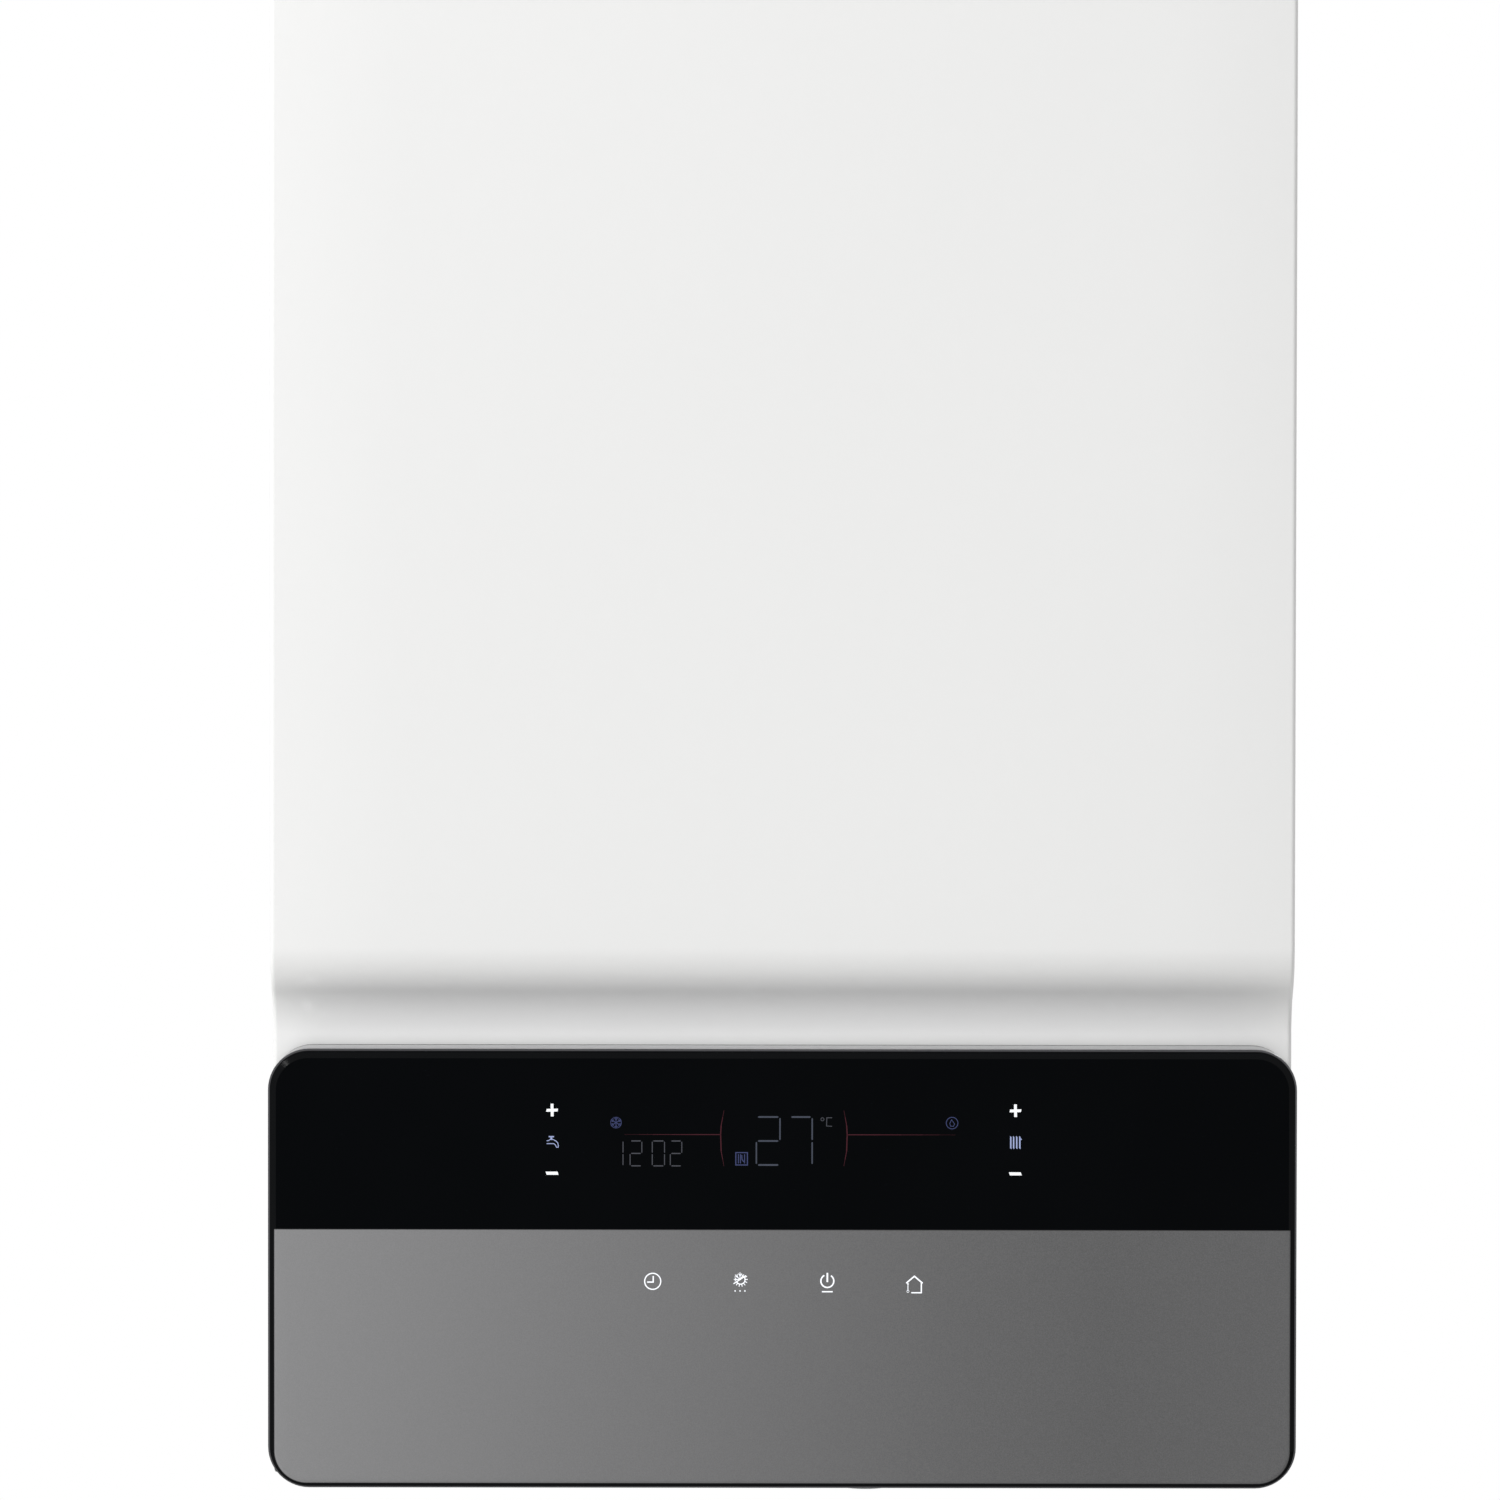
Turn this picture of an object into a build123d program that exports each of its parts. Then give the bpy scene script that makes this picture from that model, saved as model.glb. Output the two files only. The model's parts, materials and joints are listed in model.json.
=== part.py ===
"""Wall-hung condensing combi boiler, 400 x 700 x 300 mm, as separate pieces.

Frame, in millimetres: X to the viewer's right, Y into the wall, Z up. The origin is on the wall,
at the middle of the casing's bottom edge. Depths are distances from the wall, so a depth d is Y = -d.
"""

from build123d import *
import os
from math import asin, atan, cos, degrees, pi, radians, sin, sqrt

# Casing
casing_width = 400.0
casing_height = 700.0
cover_depth = 285.0          # wall to the flat upper face of the front cover
sheet = 1.2                  # folded sheet steel
bend_radius = 1.5            # inside radius of a fold
seam = 1.0                   # open joint between two outer sheets
wall_gap = 10.0              # wall to the back panel
shoulder_depth = 236.0       # wall to where the side panels step in under the cover
shoulder_step = 2.5          # how far they step in
shoulder_run = 4.0           # length of that step
strip_gap = 2.8              # front edge of the casing to the inside of the cover's lip
front_flange = 15.0
fold_height = 12.0           # turned-in edges of the top and bottom plates
bottom_plate_depth = 205.0
bottom_plate_upstand = 16.0
window_clearance = 3.0       # round the bracket's hooks in the back panel
stiffener_places = (-120, -40, 40, 120)
stiffener_low = 120.0
stiffener_high = 300.0
stiffener_width = 8.0
stiffener_depth = 3.0
wall_rest_low = -8.0         # the back panel's foot lies flat on the wall between these heights
wall_rest_high = 22.0
wall_rest_slope = 10.0

# Front cover
cover_setback = 15.0         # recess of the lip behind the control panel
curve_top = 210.0            # height where the S-curve begins
curve_height = 35.0
lip_bottom = 150.0
cover_edge = 1.2             # width of the broken outer edges
gasket_width = 9.0
gasket_clearance = 0.3

# Wall bracket
bracket_width = 300.0
bracket_height = 50.0
bracket_bottom = 640.0
bracket_plate = 2.5
bracket_slot_spacing = 240.0
bracket_slot_length = 20.0
bracket_slot_radius = 4.0
hook_spacing = 180.0
hook_width = 28.0
hook_height = 672.0
hook_reach = 17.0
hook_tip = 12.0

# Control panel
panel_height = 171.0
panel_corner = 16.0
panel_depth = 300.0          # wall to the face of the glass
panel_gap = 0.6              # cover lip to the back of the panel
tray_plate = 3.0
tray_wall = 2.2
glass_thickness = 4.0
glass_bevel_width = 2.3
glass_bevel_depth = 1.2
rim = 1.0                    # silver rim that shows round the glass
bezel_wall = 2.4
box_side_gap = 6.5           # box to the casing's front flanges
box_bottom = 6.0
box_top = 119.0
box_back_depth = 217.0
box_cover = 2.2
hinge_depth = 255.0
hinge_height = 15.0
hinge_pin_radius = 3.0
hinge_clearance = 0.05
cheek_radius = 14.5
cheek_top = 146.0
display_width = 140.0
display_height = 34.0
display_centre_height = 135.6
touch_board_width = 220.0
touch_board_bottom = 66.0
touch_board_top = 160.0
main_board_margin = 26.0     # side of the box to the main board's edge

# Combustion
burner_height = 500.0
vessel_depth = 64.0
vessel_clearance = 7.0
case_gap = 5.8               # silencer to the exchanger's case
case_length = 110.0
case_flange = 8.0
case_flange_thickness = 3.0
exchanger_wall = 1.5
port_reach = 70.0            # the case's middle to each of its two water pipes
port_land = 8.0              # flat left on the case beyond a water pipe's middle
coil_margin = 26.0           # side of the case to the coil
coil_thickness = 30.0
coil_clearance = 12.0
burner_radius = 35.0
burner_length = 84.0
door_thickness = 6.0
door_rim = 14.0              # edge of the case to the door's raised middle
door_step = 5.0
door_dome_radius = 44.0
door_dome_height = 40.0
door_wall = 3.5
door_ribs = 7
rib_thickness = 4.0
door_nut_inset = 11.0
duct_thickness = 36.0        # mixture duct, front to back
duct_bend = 30.0
duct_corner = 4.0
fan_side_gap = 14.8          # scroll to the casing's side
fan_height = 300.0
fan_length = 40.0
scroll_radius = 66.0
scroll_step = 4.0            # the scroll's radius falls by this in each quarter turn
scroll_wall = 2.5
fan_neck_width = 34.0
fan_neck_height = 70.0       # from the fan's axis to its outlet
fan_flange = 6.0
fan_flange_thickness = 4.0
fan_eye_radius = 23.0
impeller_radius = 44.0
impeller_vanes = 8
vane_thickness = 1.6
shaft_radius = 3.0
shaft_clearance = 0.05
motor_radius = 40.0
motor_length = 25.0
venturi_throat_radius = 16.0
venturi_wall = 3.0
silencer_width = 110.0
silencer_length = 38.0
silencer_bottom = 262.0
silencer_top = 600.0
silencer_wall = 2.0
gas_valve_bottom = 88.0
gas_valve_height = 60.0
gas_valve_half = 20.0        # half its width
gas_feed_height = 215.0      # where the feed pipe crosses to the fan's side
gas_feed_bend = 24.0
coil_radius = 13.0
coil_length = 26.0
electrode_radius = 4.0
electrode_stand = 14.0       # how far the stems stand out of the door
transformer_front = 188.0
transformer_width = 34.0
transformer_length = 50.0    # front to back
transformer_height = 50.0
transformer_drop = 50.0      # its middle below the burner
transformer_gap = 3.8        # to the exchanger's flange
transformer_plug = 8.0
rail_height = 30.0
rail_return = 12.0
rail_lap = 7.5               # rail behind the case's flange

# Flue
flue_radius = 30.0
flue_wall = 1.8
flue_fit = 0.25              # radial clearance of a flue pipe in its socket
collar_radius = 50.0         # outer air pipe
collar_wall = 2.5
collar_top = 745.0
collar_flange = 132.0        # side of the square flange
collar_flange_thickness = 3.0
cap_offset = 58.5
flange_screw_offset = 48.0
socket_stop = 700.0
socket_step = 1.5
socket_top = 742.0

# Expansion vessel
vessel_width = 300.0
vessel_bottom = 330.0
vessel_top = 648.0
vessel_corner = 55.0
vessel_wall = 1.5
diaphragm_thickness = 1.2
vessel_port_x = 86.0
vessel_port_depth = 60.0
small_pipe_radius = 5.0

# Water side
tail_pitch = 65.0            # spacing of the five pipe tails
tail_depth = 110.0
tail_bottom = -24.0
thread_length = 14.0
large_tail_radius = 13.22    # three-quarter inch thread, over its crests
small_tail_radius = 10.48    # half inch thread, over its crests
large_bore = 9.5
small_bore = 7.0
block_back = 92.0            # the two manifold blocks
block_front = 128.0
block_drop = 6.0             # how far they stand out below the casing
block_top = 30.0
block_lap = 3.0
column = 26.0
manifold_column = 36.0
plate_exchanger_width = 190.0
plate_exchanger_bottom = 70.0
plate_exchanger_top = 146.0
plate_exchanger_front = 60.0
plate_count = 6
plate_step = 1.5
plate_corner = 10.0
port_x = 75.0
flow_socket_top = 134.0
nut_height = 14.0
copper_radius = 9.0
gas_pipe_radius = 9.0
pump_x = 112.0
pump_height = 182.0
pump_radius = 43.0
pump_length = 36.0
pump_motor_half = 36.0
pump_motor_length = 72.0
pump_impeller_radius = 32.0
pump_vanes = 6
pump_shaft = 30.0
pump_neck_bottom = 116.0
pump_neck_top = 240.0
lug_half = 8.0
vent_x = 78.0
vent_seat = 222.0
diverter_seat = 152.0
diverter_height = 52.0
diverter_width = 44.0
diverter_back = 18.0         # its back and front, from the tails' plane
diverter_front = 24.0
chamber_radius = 13.0
chamber_depth = 40.0
stem_radius = 3.0
turbine_radius = 8.6
turbine_gap = 0.4
turbine_bottom = 54.0
turbine_top = 72.0
turbine_blades = 5
relief_height = 60.0
relief_seat = 132.0          # depth of the safety valve's seat
relief_length = 30.0
relief_pipe_radius = 7.0
relief_drain_depth = 148.0
valve_knob_radius = 13.0
valve_knob_length = 16.0
knob_stem = 7.0              # how far the knob's stem stands in the valve
fill_tap_x = 97.5
fill_knob_radius = 12.0
fill_knob_length = 16.0
fill_spindle_radius = 4.0
knob_gap = 0.5

# Condensate
siphon_width = 38.0
siphon_bottom = 190.0
siphon_top = 330.0
cup_height = 16.0
drain_radius = 10.5
drain_bottom = -21.0
spigot_length = 20.0

# Small pieces and details
gland_inset = 30.0           # casing's side to a gland
gland_setback = 33.0         # bottom plate's front edge to the glands
gland_flats = 22.0
gland_bore = 4.25
gland_drop = 8.0
casing_screw_radius = 2.0
casing_screw_length = 6.0
lower_screw_back = 60.0
lower_screw_setback = 45.0
box_screw_radius = 1.6
box_screw_length = 7.0
screw_post = 4.5
vent_slots = 4
vent_slot_length = 28.0
vent_slot_pitch = 60.0
board_stand = 4.0
round_sides = 20             # flats of the larger round sections
board_thickness = 1.6

# Places that follow from the sizes above
half_width = casing_width / 2
back_face = wall_gap + sheet
lip_depth = cover_depth - cover_setback
strip_front = lip_depth - sheet - strip_gap
cover_back = shoulder_depth + shoulder_run
strip_outside = half_width - shoulder_step
box_half_width = strip_outside - front_flange - box_side_gap
gland_places = (-half_width + gland_inset, half_width - gland_inset)
gland_depth = bottom_plate_depth - gland_setback
tray_back = lip_depth + panel_gap
tray_front = tray_back + tray_plate
glass_back = panel_depth - glass_thickness
vessel_front = back_face + vessel_depth
vessel_middle = back_face + vessel_depth / 2
exchanger_back = vessel_front + vessel_clearance
exchanger_front = exchanger_back + case_length
silencer_side = -half_width + sheet + silencer_width
case_left = silencer_side + case_gap
case_right = half_width - sheet - transformer_width - transformer_gap - case_flange
case_size = case_right - case_left
burner_x = (case_left + case_right) / 2
case_corner = case_size / 2 - port_reach - port_land
coil_outer_radius = case_size / 2 - coil_margin
coil_inner_radius = coil_outer_radius - coil_thickness
case_top = burner_height + case_size / 2
case_bottom = burner_height - case_size / 2
flue_x = 0.0
flue_depth = (exchanger_back + exchanger_front) / 2
door_front = exchanger_front + door_thickness
duct_depth = door_front + duct_thickness / 2
fan_x = -half_width + sheet + scroll_radius + fan_side_gap
fan_back_depth = duct_depth - fan_length / 2
fan_front = fan_back_depth + fan_length
fan_neck_x = fan_x - scroll_radius + scroll_wall + fan_neck_width / 2
fan_mouth = fan_height + fan_neck_height
silencer_front = vessel_front + vessel_clearance + silencer_length
gas_valve_depth = (silencer_front + fan_back_depth) / 2
feed_top = fan_height - fan_eye_radius - venturi_wall - 8
flow_x, hot_x, gas_x, cold_x, return_x = [place * tail_pitch for place in (-2, -1, 0, 1, 2)]
manifold_spans = ((flow_x - 22, hot_x + 17), (cold_x - 17, return_x + 22))
water_ports = (burner_x - port_reach, burner_x + port_reach)
pump_back = tail_depth - pump_length / 2
pump_front = tail_depth + pump_length / 2


# ---------------------------------------------------------------- helpers

def block(low, high):
    """A box between two opposite corners."""
    size = [b - a for a, b in zip(low, high)]
    middle = [(a + b) / 2 for a, b in zip(low, high)]
    return Pos(*middle) * Box(*size)


def rod(radius, start, end):
    """A round bar between two points."""
    path = Vector(*end) - Vector(*start)
    bar = Cylinder(radius, path.length, align=(Align.CENTER, Align.CENTER, Align.MIN))
    return Plane(origin=start, z_dir=path) * bar


def prism(radius, start, end, sides=12):
    """A many-sided bar between two points: the radius is to the middle of its flats."""
    path = Vector(*end) - Vector(*start)
    profile = RegularPolygon(radius, sides, major_radius=False)
    return Plane(origin=start, z_dir=path) * extrude(profile, path.length)


def hexagon(across_flats, start, end):
    """A six-sided bar between two points."""
    return prism(across_flats / 2, start, end, 6)


def arc_points(centre, radius, start, turn, steps):
    """Points along an arc, in degrees, with both ends."""
    angles = [radians(start + turn * step / steps) for step in range(steps + 1)]
    return [(centre[0] + radius * cos(angle), centre[1] + radius * sin(angle)) for angle in angles]


def soft_rectangle(width, height, corner, steps=3):
    """A rectangle about the origin with its corners rounded in short flats."""
    x, y = width / 2 - corner, height / 2 - corner
    points = []
    for centre, start in (((x, y), 0), ((-x, y), 90), ((-x, -y), 180), ((x, -y), 270)):
        points += arc_points(centre, corner, start, 90, steps)
    return make_face(Polyline(*points, close=True))


def bent_route(points, radius, steps=3):
    """A line through points in one plane, with right-angled bends made of short straights."""
    route = [Vector(*points[0])]
    for before, corner, after in zip(points, points[1:], points[2:]):
        corner = Vector(*corner)
        back, on = (Vector(*before) - corner).normalized(), (Vector(*after) - corner).normalized()
        centre = corner + (back + on) * radius
        for step in range(steps + 1):
            angle = pi / 2 * step / steps
            route.append(centre - on * (radius * cos(angle)) - back * (radius * sin(angle)))
    return Polyline(*route, Vector(*points[-1]))


def along(route, section):
    """A section carried along a route of straights, mitred where they meet."""
    start = Plane(origin=route @ 0, z_dir=route % 0)
    return sweep(start * section, path=route, transition=Transition.RIGHT)


def offset_path(path, distance):
    """The corners of a line drawn beside a path, at a distance to its left."""
    steps = [Vector(*b) - Vector(*a) for a, b in zip(path, path[1:])]
    normals = [Vector(-step.Y, step.X).normalized() for step in steps]
    normals = [normals[0]] + normals + [normals[-1]]
    corners = []
    for point, before, after in zip(path, normals, normals[1:]):
        shift = (before + after) * (distance / (1 + before.dot(after)))
        corners.append((point[0] + shift.X, point[1] + shift.Y))
    return corners


def fold_radii(path, inside, outside):
    """One radius for each fold: `inside` where the path turns left, `outside` where it turns right."""
    radii = []
    for a, b, c in zip(path, path[1:], path[2:]):
        turn = (b[0] - a[0]) * (c[1] - b[1]) - (b[1] - a[1]) * (c[0] - b[0])
        radii.append(inside if turn > 0 else outside)
    return radii


def folded(path, plane, length, both=False):
    """A folded sheet: `path` is one face's section, and the sheet lies to the left of it."""
    other = offset_path(path, sheet)
    tight, wide = bend_radius, bend_radius + sheet
    near = FilletPolyline(*path, radius=fold_radii(path, wide, tight))
    far = FilletPolyline(*other, radius=fold_radii(path, tight, wide))
    ends = [Line(near @ 0, far @ 0), Line(near @ 1, far @ 1)]
    return extrude(plane * make_face(Curve() + [near, far] + ends), length, both=both)


def screw(head_at, direction, head=7.0, head_height=2.5, shank=2.0, length=8.0):
    """A hex-headed screw: its head stands on `head_at` and its shank points along `direction`."""
    at, way = Vector(*head_at), Vector(*direction)
    top = at - way * head_height
    tip = at + way * length
    return hexagon(head, tuple(top), tuple(at)) + hexagon(shank * 2, tuple(at), tuple(tip))


def bore_for(head_at, direction, shank, length):
    """The hole that a screw's shank stands in."""
    at, way = Vector(*head_at), Vector(*direction)
    return hexagon(2 * shank + 0.1, tuple(at - way), tuple(at + way * (length + 0.5)))


def mirrored(shape):
    """The same shape on the other side of the middle plane."""
    return mirror(shape, about=Plane.YZ)


def joined(shapes):
    """Several separate solids in one node."""
    return Compound(children=[solid for shape in shapes for solid in shape.solids()])


# ---------------------------------------------------------------- casing

def wall_bracket():
    top = bracket_bottom + bracket_height
    plate = block((-bracket_width / 2, -bracket_plate, bracket_bottom), (bracket_width / 2, 0, top))
    plate = chamfer(plate.edges().filter_by(Axis.Y), 6)
    for side in (-1, 1):
        at = Pos(side * bracket_slot_spacing / 2, bracket_bottom + bracket_height / 2)
        slot = Plane.XZ * at * SlotOverall(bracket_slot_length, 2 * bracket_slot_radius)
        plate -= extrude(slot, bracket_plate)
        left = side * hook_spacing / 2 - hook_width / 2
        arm_top = hook_height + bracket_plate
        plate += block((left, -hook_reach, hook_height), (left + hook_width, -bracket_plate, arm_top))
        tip_back = -hook_reach + bracket_plate
        tip = block((left, -hook_reach, hook_height), (left + hook_width, tip_back, hook_height + hook_tip))
        plate += chamfer(tip.edges().filter_by(Axis.Y).sort_by(Axis.Z)[-2:], 4)
    return plate


def back_panel():
    half = half_width - sheet
    slope_top = wall_rest_high + wall_rest_slope
    top = casing_height - sheet
    path = [(0, wall_rest_low), (0, wall_rest_high), (-wall_gap, slope_top), (-wall_gap, top)]
    panel = folded(path, Plane.YZ, half, both=True)
    for side in (-1, 1):
        inner = side * (half - sheet)
        low = (min(inner, side * half), -back_face - front_flange, slope_top + 2)
        high = (max(inner, side * half), -back_face, top - fold_height - 2)
        panel += block(low, high)
        opening = hook_width / 2 + window_clearance
        middle = side * hook_spacing / 2
        panel -= block((middle - opening, -back_face - 1, hook_height - hook_tip - 2 * window_clearance),
                       (middle + opening, 1, hook_height + bracket_plate))
    reach = stiffener_width / 2
    for x in stiffener_places:
        rib = block((x - reach, -wall_gap, stiffener_low),
                    (x + reach, -wall_gap + stiffener_depth, stiffener_high))
        panel += chamfer(rib.edges().filter_by(Axis.Z).sort_by(Axis.Y)[-2:], 0.8 * stiffener_depth)
    return panel


def side_panel():
    """The right side: flat outside, stepped in at the front where the cover laps over it."""
    path = [(strip_outside - front_flange, -strip_front), (strip_outside, -strip_front),
            (strip_outside, -cover_back), (half_width, -shoulder_depth), (half_width, -seam)]
    panel = folded(path, Plane.XY, casing_height)
    beyond = half_width + 1
    inside = strip_outside - front_flange - 1
    front = -strip_front - 1
    # the strip stops short of the top plate's front edge
    panel -= block((inside, front, casing_height - 3), (beyond, -shoulder_depth - 1, casing_height + 1))
    # the inward flange starts above the hinge and stops under the top plate's fold
    clear_x = strip_outside - sheet
    panel -= block((inside, front, -1), (clear_x, -strip_front + 3 * sheet, 2 * hinge_height))
    panel -= block((inside, front, casing_height - fold_height - 3),
                   (clear_x, -strip_front + 3 * sheet, casing_height + 1))
    # below the hinge the strip ends in an ear, round about the pin
    ear = hinge_pin_radius + 8
    corner = block((inside, front, -1), (beyond, -hinge_depth, hinge_height))
    pin_line = ((inside, -hinge_depth, hinge_height), (beyond, -hinge_depth, hinge_height))
    corner -= rod(ear, *pin_line)
    foot = block((inside, front, -1), (beyond, -shoulder_depth - 1, hinge_height - ear))
    panel -= corner + foot
    panel -= prism(hinge_pin_radius, *pin_line)
    # turned-in foot that the bottom plate is screwed to
    foot_z = sheet
    panel += block((half_width - sheet - fold_height, -bottom_plate_depth + 20, foot_z),
                   (half_width - sheet, -back_face - 20, foot_z + sheet))
    return panel - screw_bores(lower_screws())


def top_plate():
    joggle = casing_height - sheet - 0.3
    path = [(-seam, casing_height), (-shoulder_depth, casing_height), (-cover_back, joggle),
            (-strip_front, joggle), (-strip_front, joggle - fold_height)]
    half = half_width - sheet
    plate = folded(path, Plane.YZ, half, both=True)
    for side in (-1, 1):
        edge = strip_outside - sheet - 0.2
        low = (min(side * edge, side * (half + 1)), -strip_front - 1, joggle - fold_height - 3)
        high = (max(side * edge, side * (half + 1)), -shoulder_depth + 0.5, casing_height + 1)
        plate -= block(low, high)
        inner = side * (half - sheet)
        low = (min(inner, side * half), -shoulder_depth + 8, casing_height - sheet - fold_height)
        high = (max(inner, side * half), -back_face - front_flange - 4, casing_height - sheet)
        plate += block(low, high)
    hole = collar_radius - collar_wall
    centre = (flue_x, -flue_depth)
    plate -= prism(hole, (*centre, casing_height - 3), (*centre, casing_height + 1))
    return plate - screw_bores(upper_screws())


def bottom_plate():
    path = [(-bottom_plate_depth, bottom_plate_upstand), (-bottom_plate_depth, 0), (-sheet, 0)]
    plate = folded(path, Plane.YZ, half_width - sheet, both=True)
    for low_x, high_x in manifold_spans:
        plate -= block((low_x, -block_front, -1), (high_x, -block_back, sheet + 1))
    plate -= prism(large_tail_radius + 1, (gas_x, -tail_depth, -1), (gas_x, -tail_depth, sheet + 1), 8)
    plate -= prism(drain_radius + 1, (burner_x, -flue_depth, -1), (burner_x, -flue_depth, sheet + 1), 8)
    for x in gland_places:
        plate -= hexagon(gland_flats - 4, (x, -gland_depth, -1), (x, -gland_depth, sheet + 1))
    return plate - screw_bores(lower_screws())


def front_cover_block(inset, back, bottom):
    """The cover's outside, or with an inset its inside: a flat face, the S-curve and the lip."""
    face, lip = -cover_depth + inset, -lip_depth + inset
    top = casing_height - inset
    turn = 2 * atan(cover_setback / curve_height)
    radius = curve_height / (2 * sin(turn))
    upper, lower = radius - inset, radius + inset
    upper_centre = (face + upper, curve_top)
    lower_centre = (lip - lower, curve_top - curve_height)
    upper_arc = CenterArc(upper_centre, upper, 180, degrees(turn))
    lower_arc = CenterArc(lower_centre, lower, 0, degrees(turn))
    outline = [Line((back, bottom), (back, top)), Line((back, top), (face, top)),
               Line((face, top), (face, curve_top)), upper_arc, lower_arc,
               Line((lip, curve_top - curve_height), (lip, bottom)), Line((lip, bottom), (back, bottom))]
    half = half_width - inset
    form = extrude(Plane.YZ * make_face(Curve() + outline), half, both=True)

    def at_front(edge):
        on_side = abs(abs(edge.center().X) - half) < 0.01
        on_top = abs(edge.center().X) < 0.01 and edge.center().Z > top - 0.01
        return (on_side or on_top) and edge.bounding_box().max.Y < lip + 0.01

    return chamfer(form.edges().filter_by(at_front), cover_edge) if inset == 0 else form


def front_cover():
    """One pressed sheet: front with its S-curve, side returns and a top return over the casing."""
    shell = front_cover_block(0, -cover_back, lip_bottom)
    shell -= front_cover_block(sheet, -cover_back + 10, lip_bottom - 10)
    # a turned-in rim stiffens the lip's lower edge
    rim_half = strip_outside - front_flange - 4
    return shell + block((-rim_half, -lip_depth, lip_bottom),
                         (rim_half, -lip_depth + sheet + 1, lip_bottom + sheet))


def cover_gasket():
    """Foam between the cover and the casing's front edge, up the sides and over the top."""
    outer = strip_outside - sheet - 1
    inner = outer - gasket_width
    front, back = -cover_depth + sheet, -strip_front - gasket_clearance
    low, high = curve_top + 8, casing_height - sheet - 3
    return block((-outer, front, low), (outer, back, high)) - block((-inner, front - 1, low - 1),
                                                                  (inner, back + 1, high - gasket_width))


# ---------------------------------------------------------------- control panel

def panel_outline(inset):
    shape = RectangleRounded(casing_width - 2 * inset, panel_height - 2 * inset, panel_corner - inset)
    return Pos(0, panel_height / 2) * shape


def slab(outline, back_depth, front_depth):
    """A flat shape drawn on the front view, between two depths."""
    thickness = front_depth - back_depth
    return extrude(Plane.XZ.offset(back_depth) * outline, thickness)


def fascia_glass():
    glass = slab(panel_outline(rim), glass_back, panel_depth)
    front = glass.faces().sort_by(Axis.Y)[0]
    return chamfer(front.edges(), glass_bevel_depth, glass_bevel_width, reference=front)


def fascia_bezel():
    frame = slab(panel_outline(0), tray_front, glass_back)
    return frame - slab(panel_outline(bezel_wall), tray_front - 1, glass_back + 1)


def control_tray():
    """Moulded back of the panel: plate, hinge cheeks and the open-backed box for the electronics."""
    tray = slab(panel_outline(0), tray_back, tray_front)
    # cheeks at both sides, round about the hinge pin
    back = cover_back + 0.5
    profile = make_face(Polyline((-tray_back, 2), (-tray_back, cheek_top), (-back, cheek_top),
                                 (-back, hinge_height), (-hinge_depth, hinge_height), (-hinge_depth, 2),
                                 close=True))
    profile += Pos(-hinge_depth, hinge_height) * RegularPolygon(cheek_radius, 12)
    cheek_inside = strip_outside + 0.5
    cheek = extrude(Plane.YZ.offset(cheek_inside) * profile, half_width - cheek_inside)
    hole = hinge_pin_radius + hinge_clearance
    cheek -= rod(hole, (cheek_inside - 1, -hinge_depth, hinge_height),
                 (half_width + 1, -hinge_depth, hinge_height))
    tray += [cheek, mirrored(cheek)]
    # electronics box
    outer = block((-box_half_width, -tray_back, box_bottom), (box_half_width, -box_back_depth, box_top))
    inner_half = box_half_width - tray_wall
    inner = block((-inner_half, -tray_back, box_bottom + tray_wall),
                  (inner_half, -box_back_depth + 1, box_top - tray_wall))
    tray += outer - inner
    # screw posts in the box's corners
    for x, z in box_screw_places():
        tray += block((x - screw_post, -tray_back, z - screw_post),
                      (x + screw_post, -box_back_depth, z + screw_post))
    # window behind the display and slots that let the box breathe
    half, low, high = display_window(1.0)
    tray -= block((-half, -tray_front - 1, low), (half, -tray_back + 1, high))
    for place in range(vent_slots):
        x = (place - (vent_slots - 1) / 2) * vent_slot_pitch
        tray -= block((x - vent_slot_length / 2, -box_back_depth - 30, box_bottom - 1),
                      (x + vent_slot_length / 2, -box_back_depth - 26, box_bottom + tray_wall + 1))
    # snap catches on the top edge of the cheeks
    for side in (-1, 1):
        x = side * (strip_outside - front_flange - 6)
        tray += block((x - 5, -tray_back, cheek_top - 16), (x + 5, -strip_front - 1, cheek_top - 12))
    for x, z in box_screw_places():
        tray -= bore_for((x, -box_back_depth, z), (0, -1, 0), box_screw_radius, box_screw_length)
    return tray


def display_window(clear):
    """The display's half width, foot and top, with some clearance round it."""
    half_height = display_height / 2 + clear
    return display_width / 2 + clear, display_centre_height - half_height, display_centre_height + half_height


def box_screw_places():
    x = box_half_width - tray_wall - screw_post
    low, high = box_bottom + tray_wall + screw_post, box_top - tray_wall - screw_post
    return [(-x, low), (x, low), (-x, high), (x, high)]


def control_box_cover():
    half = box_half_width
    cover = block((-half, -box_back_depth, box_bottom), (half, -box_back_depth + box_cover, box_top))
    # stiffening ribs inside
    for x in (-box_half_width / 2, 0, box_half_width / 2):
        cover += block((x - 1, -box_back_depth - 3, box_bottom + 12), (x + 1, -box_back_depth, box_top - 12))
    for x, z in box_screw_places():
        cover -= bore_for((x, -box_back_depth + box_cover, z), (0, -1, 0), box_screw_radius, box_cover)
    return cover


def control_box_screws():
    back = -box_back_depth + box_cover
    length = box_cover + box_screw_length - 1
    return joined([screw((x, back, z), (0, -1, 0), 6.0, 1.5, box_screw_radius, length)
                   for x, z in box_screw_places()])


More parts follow.
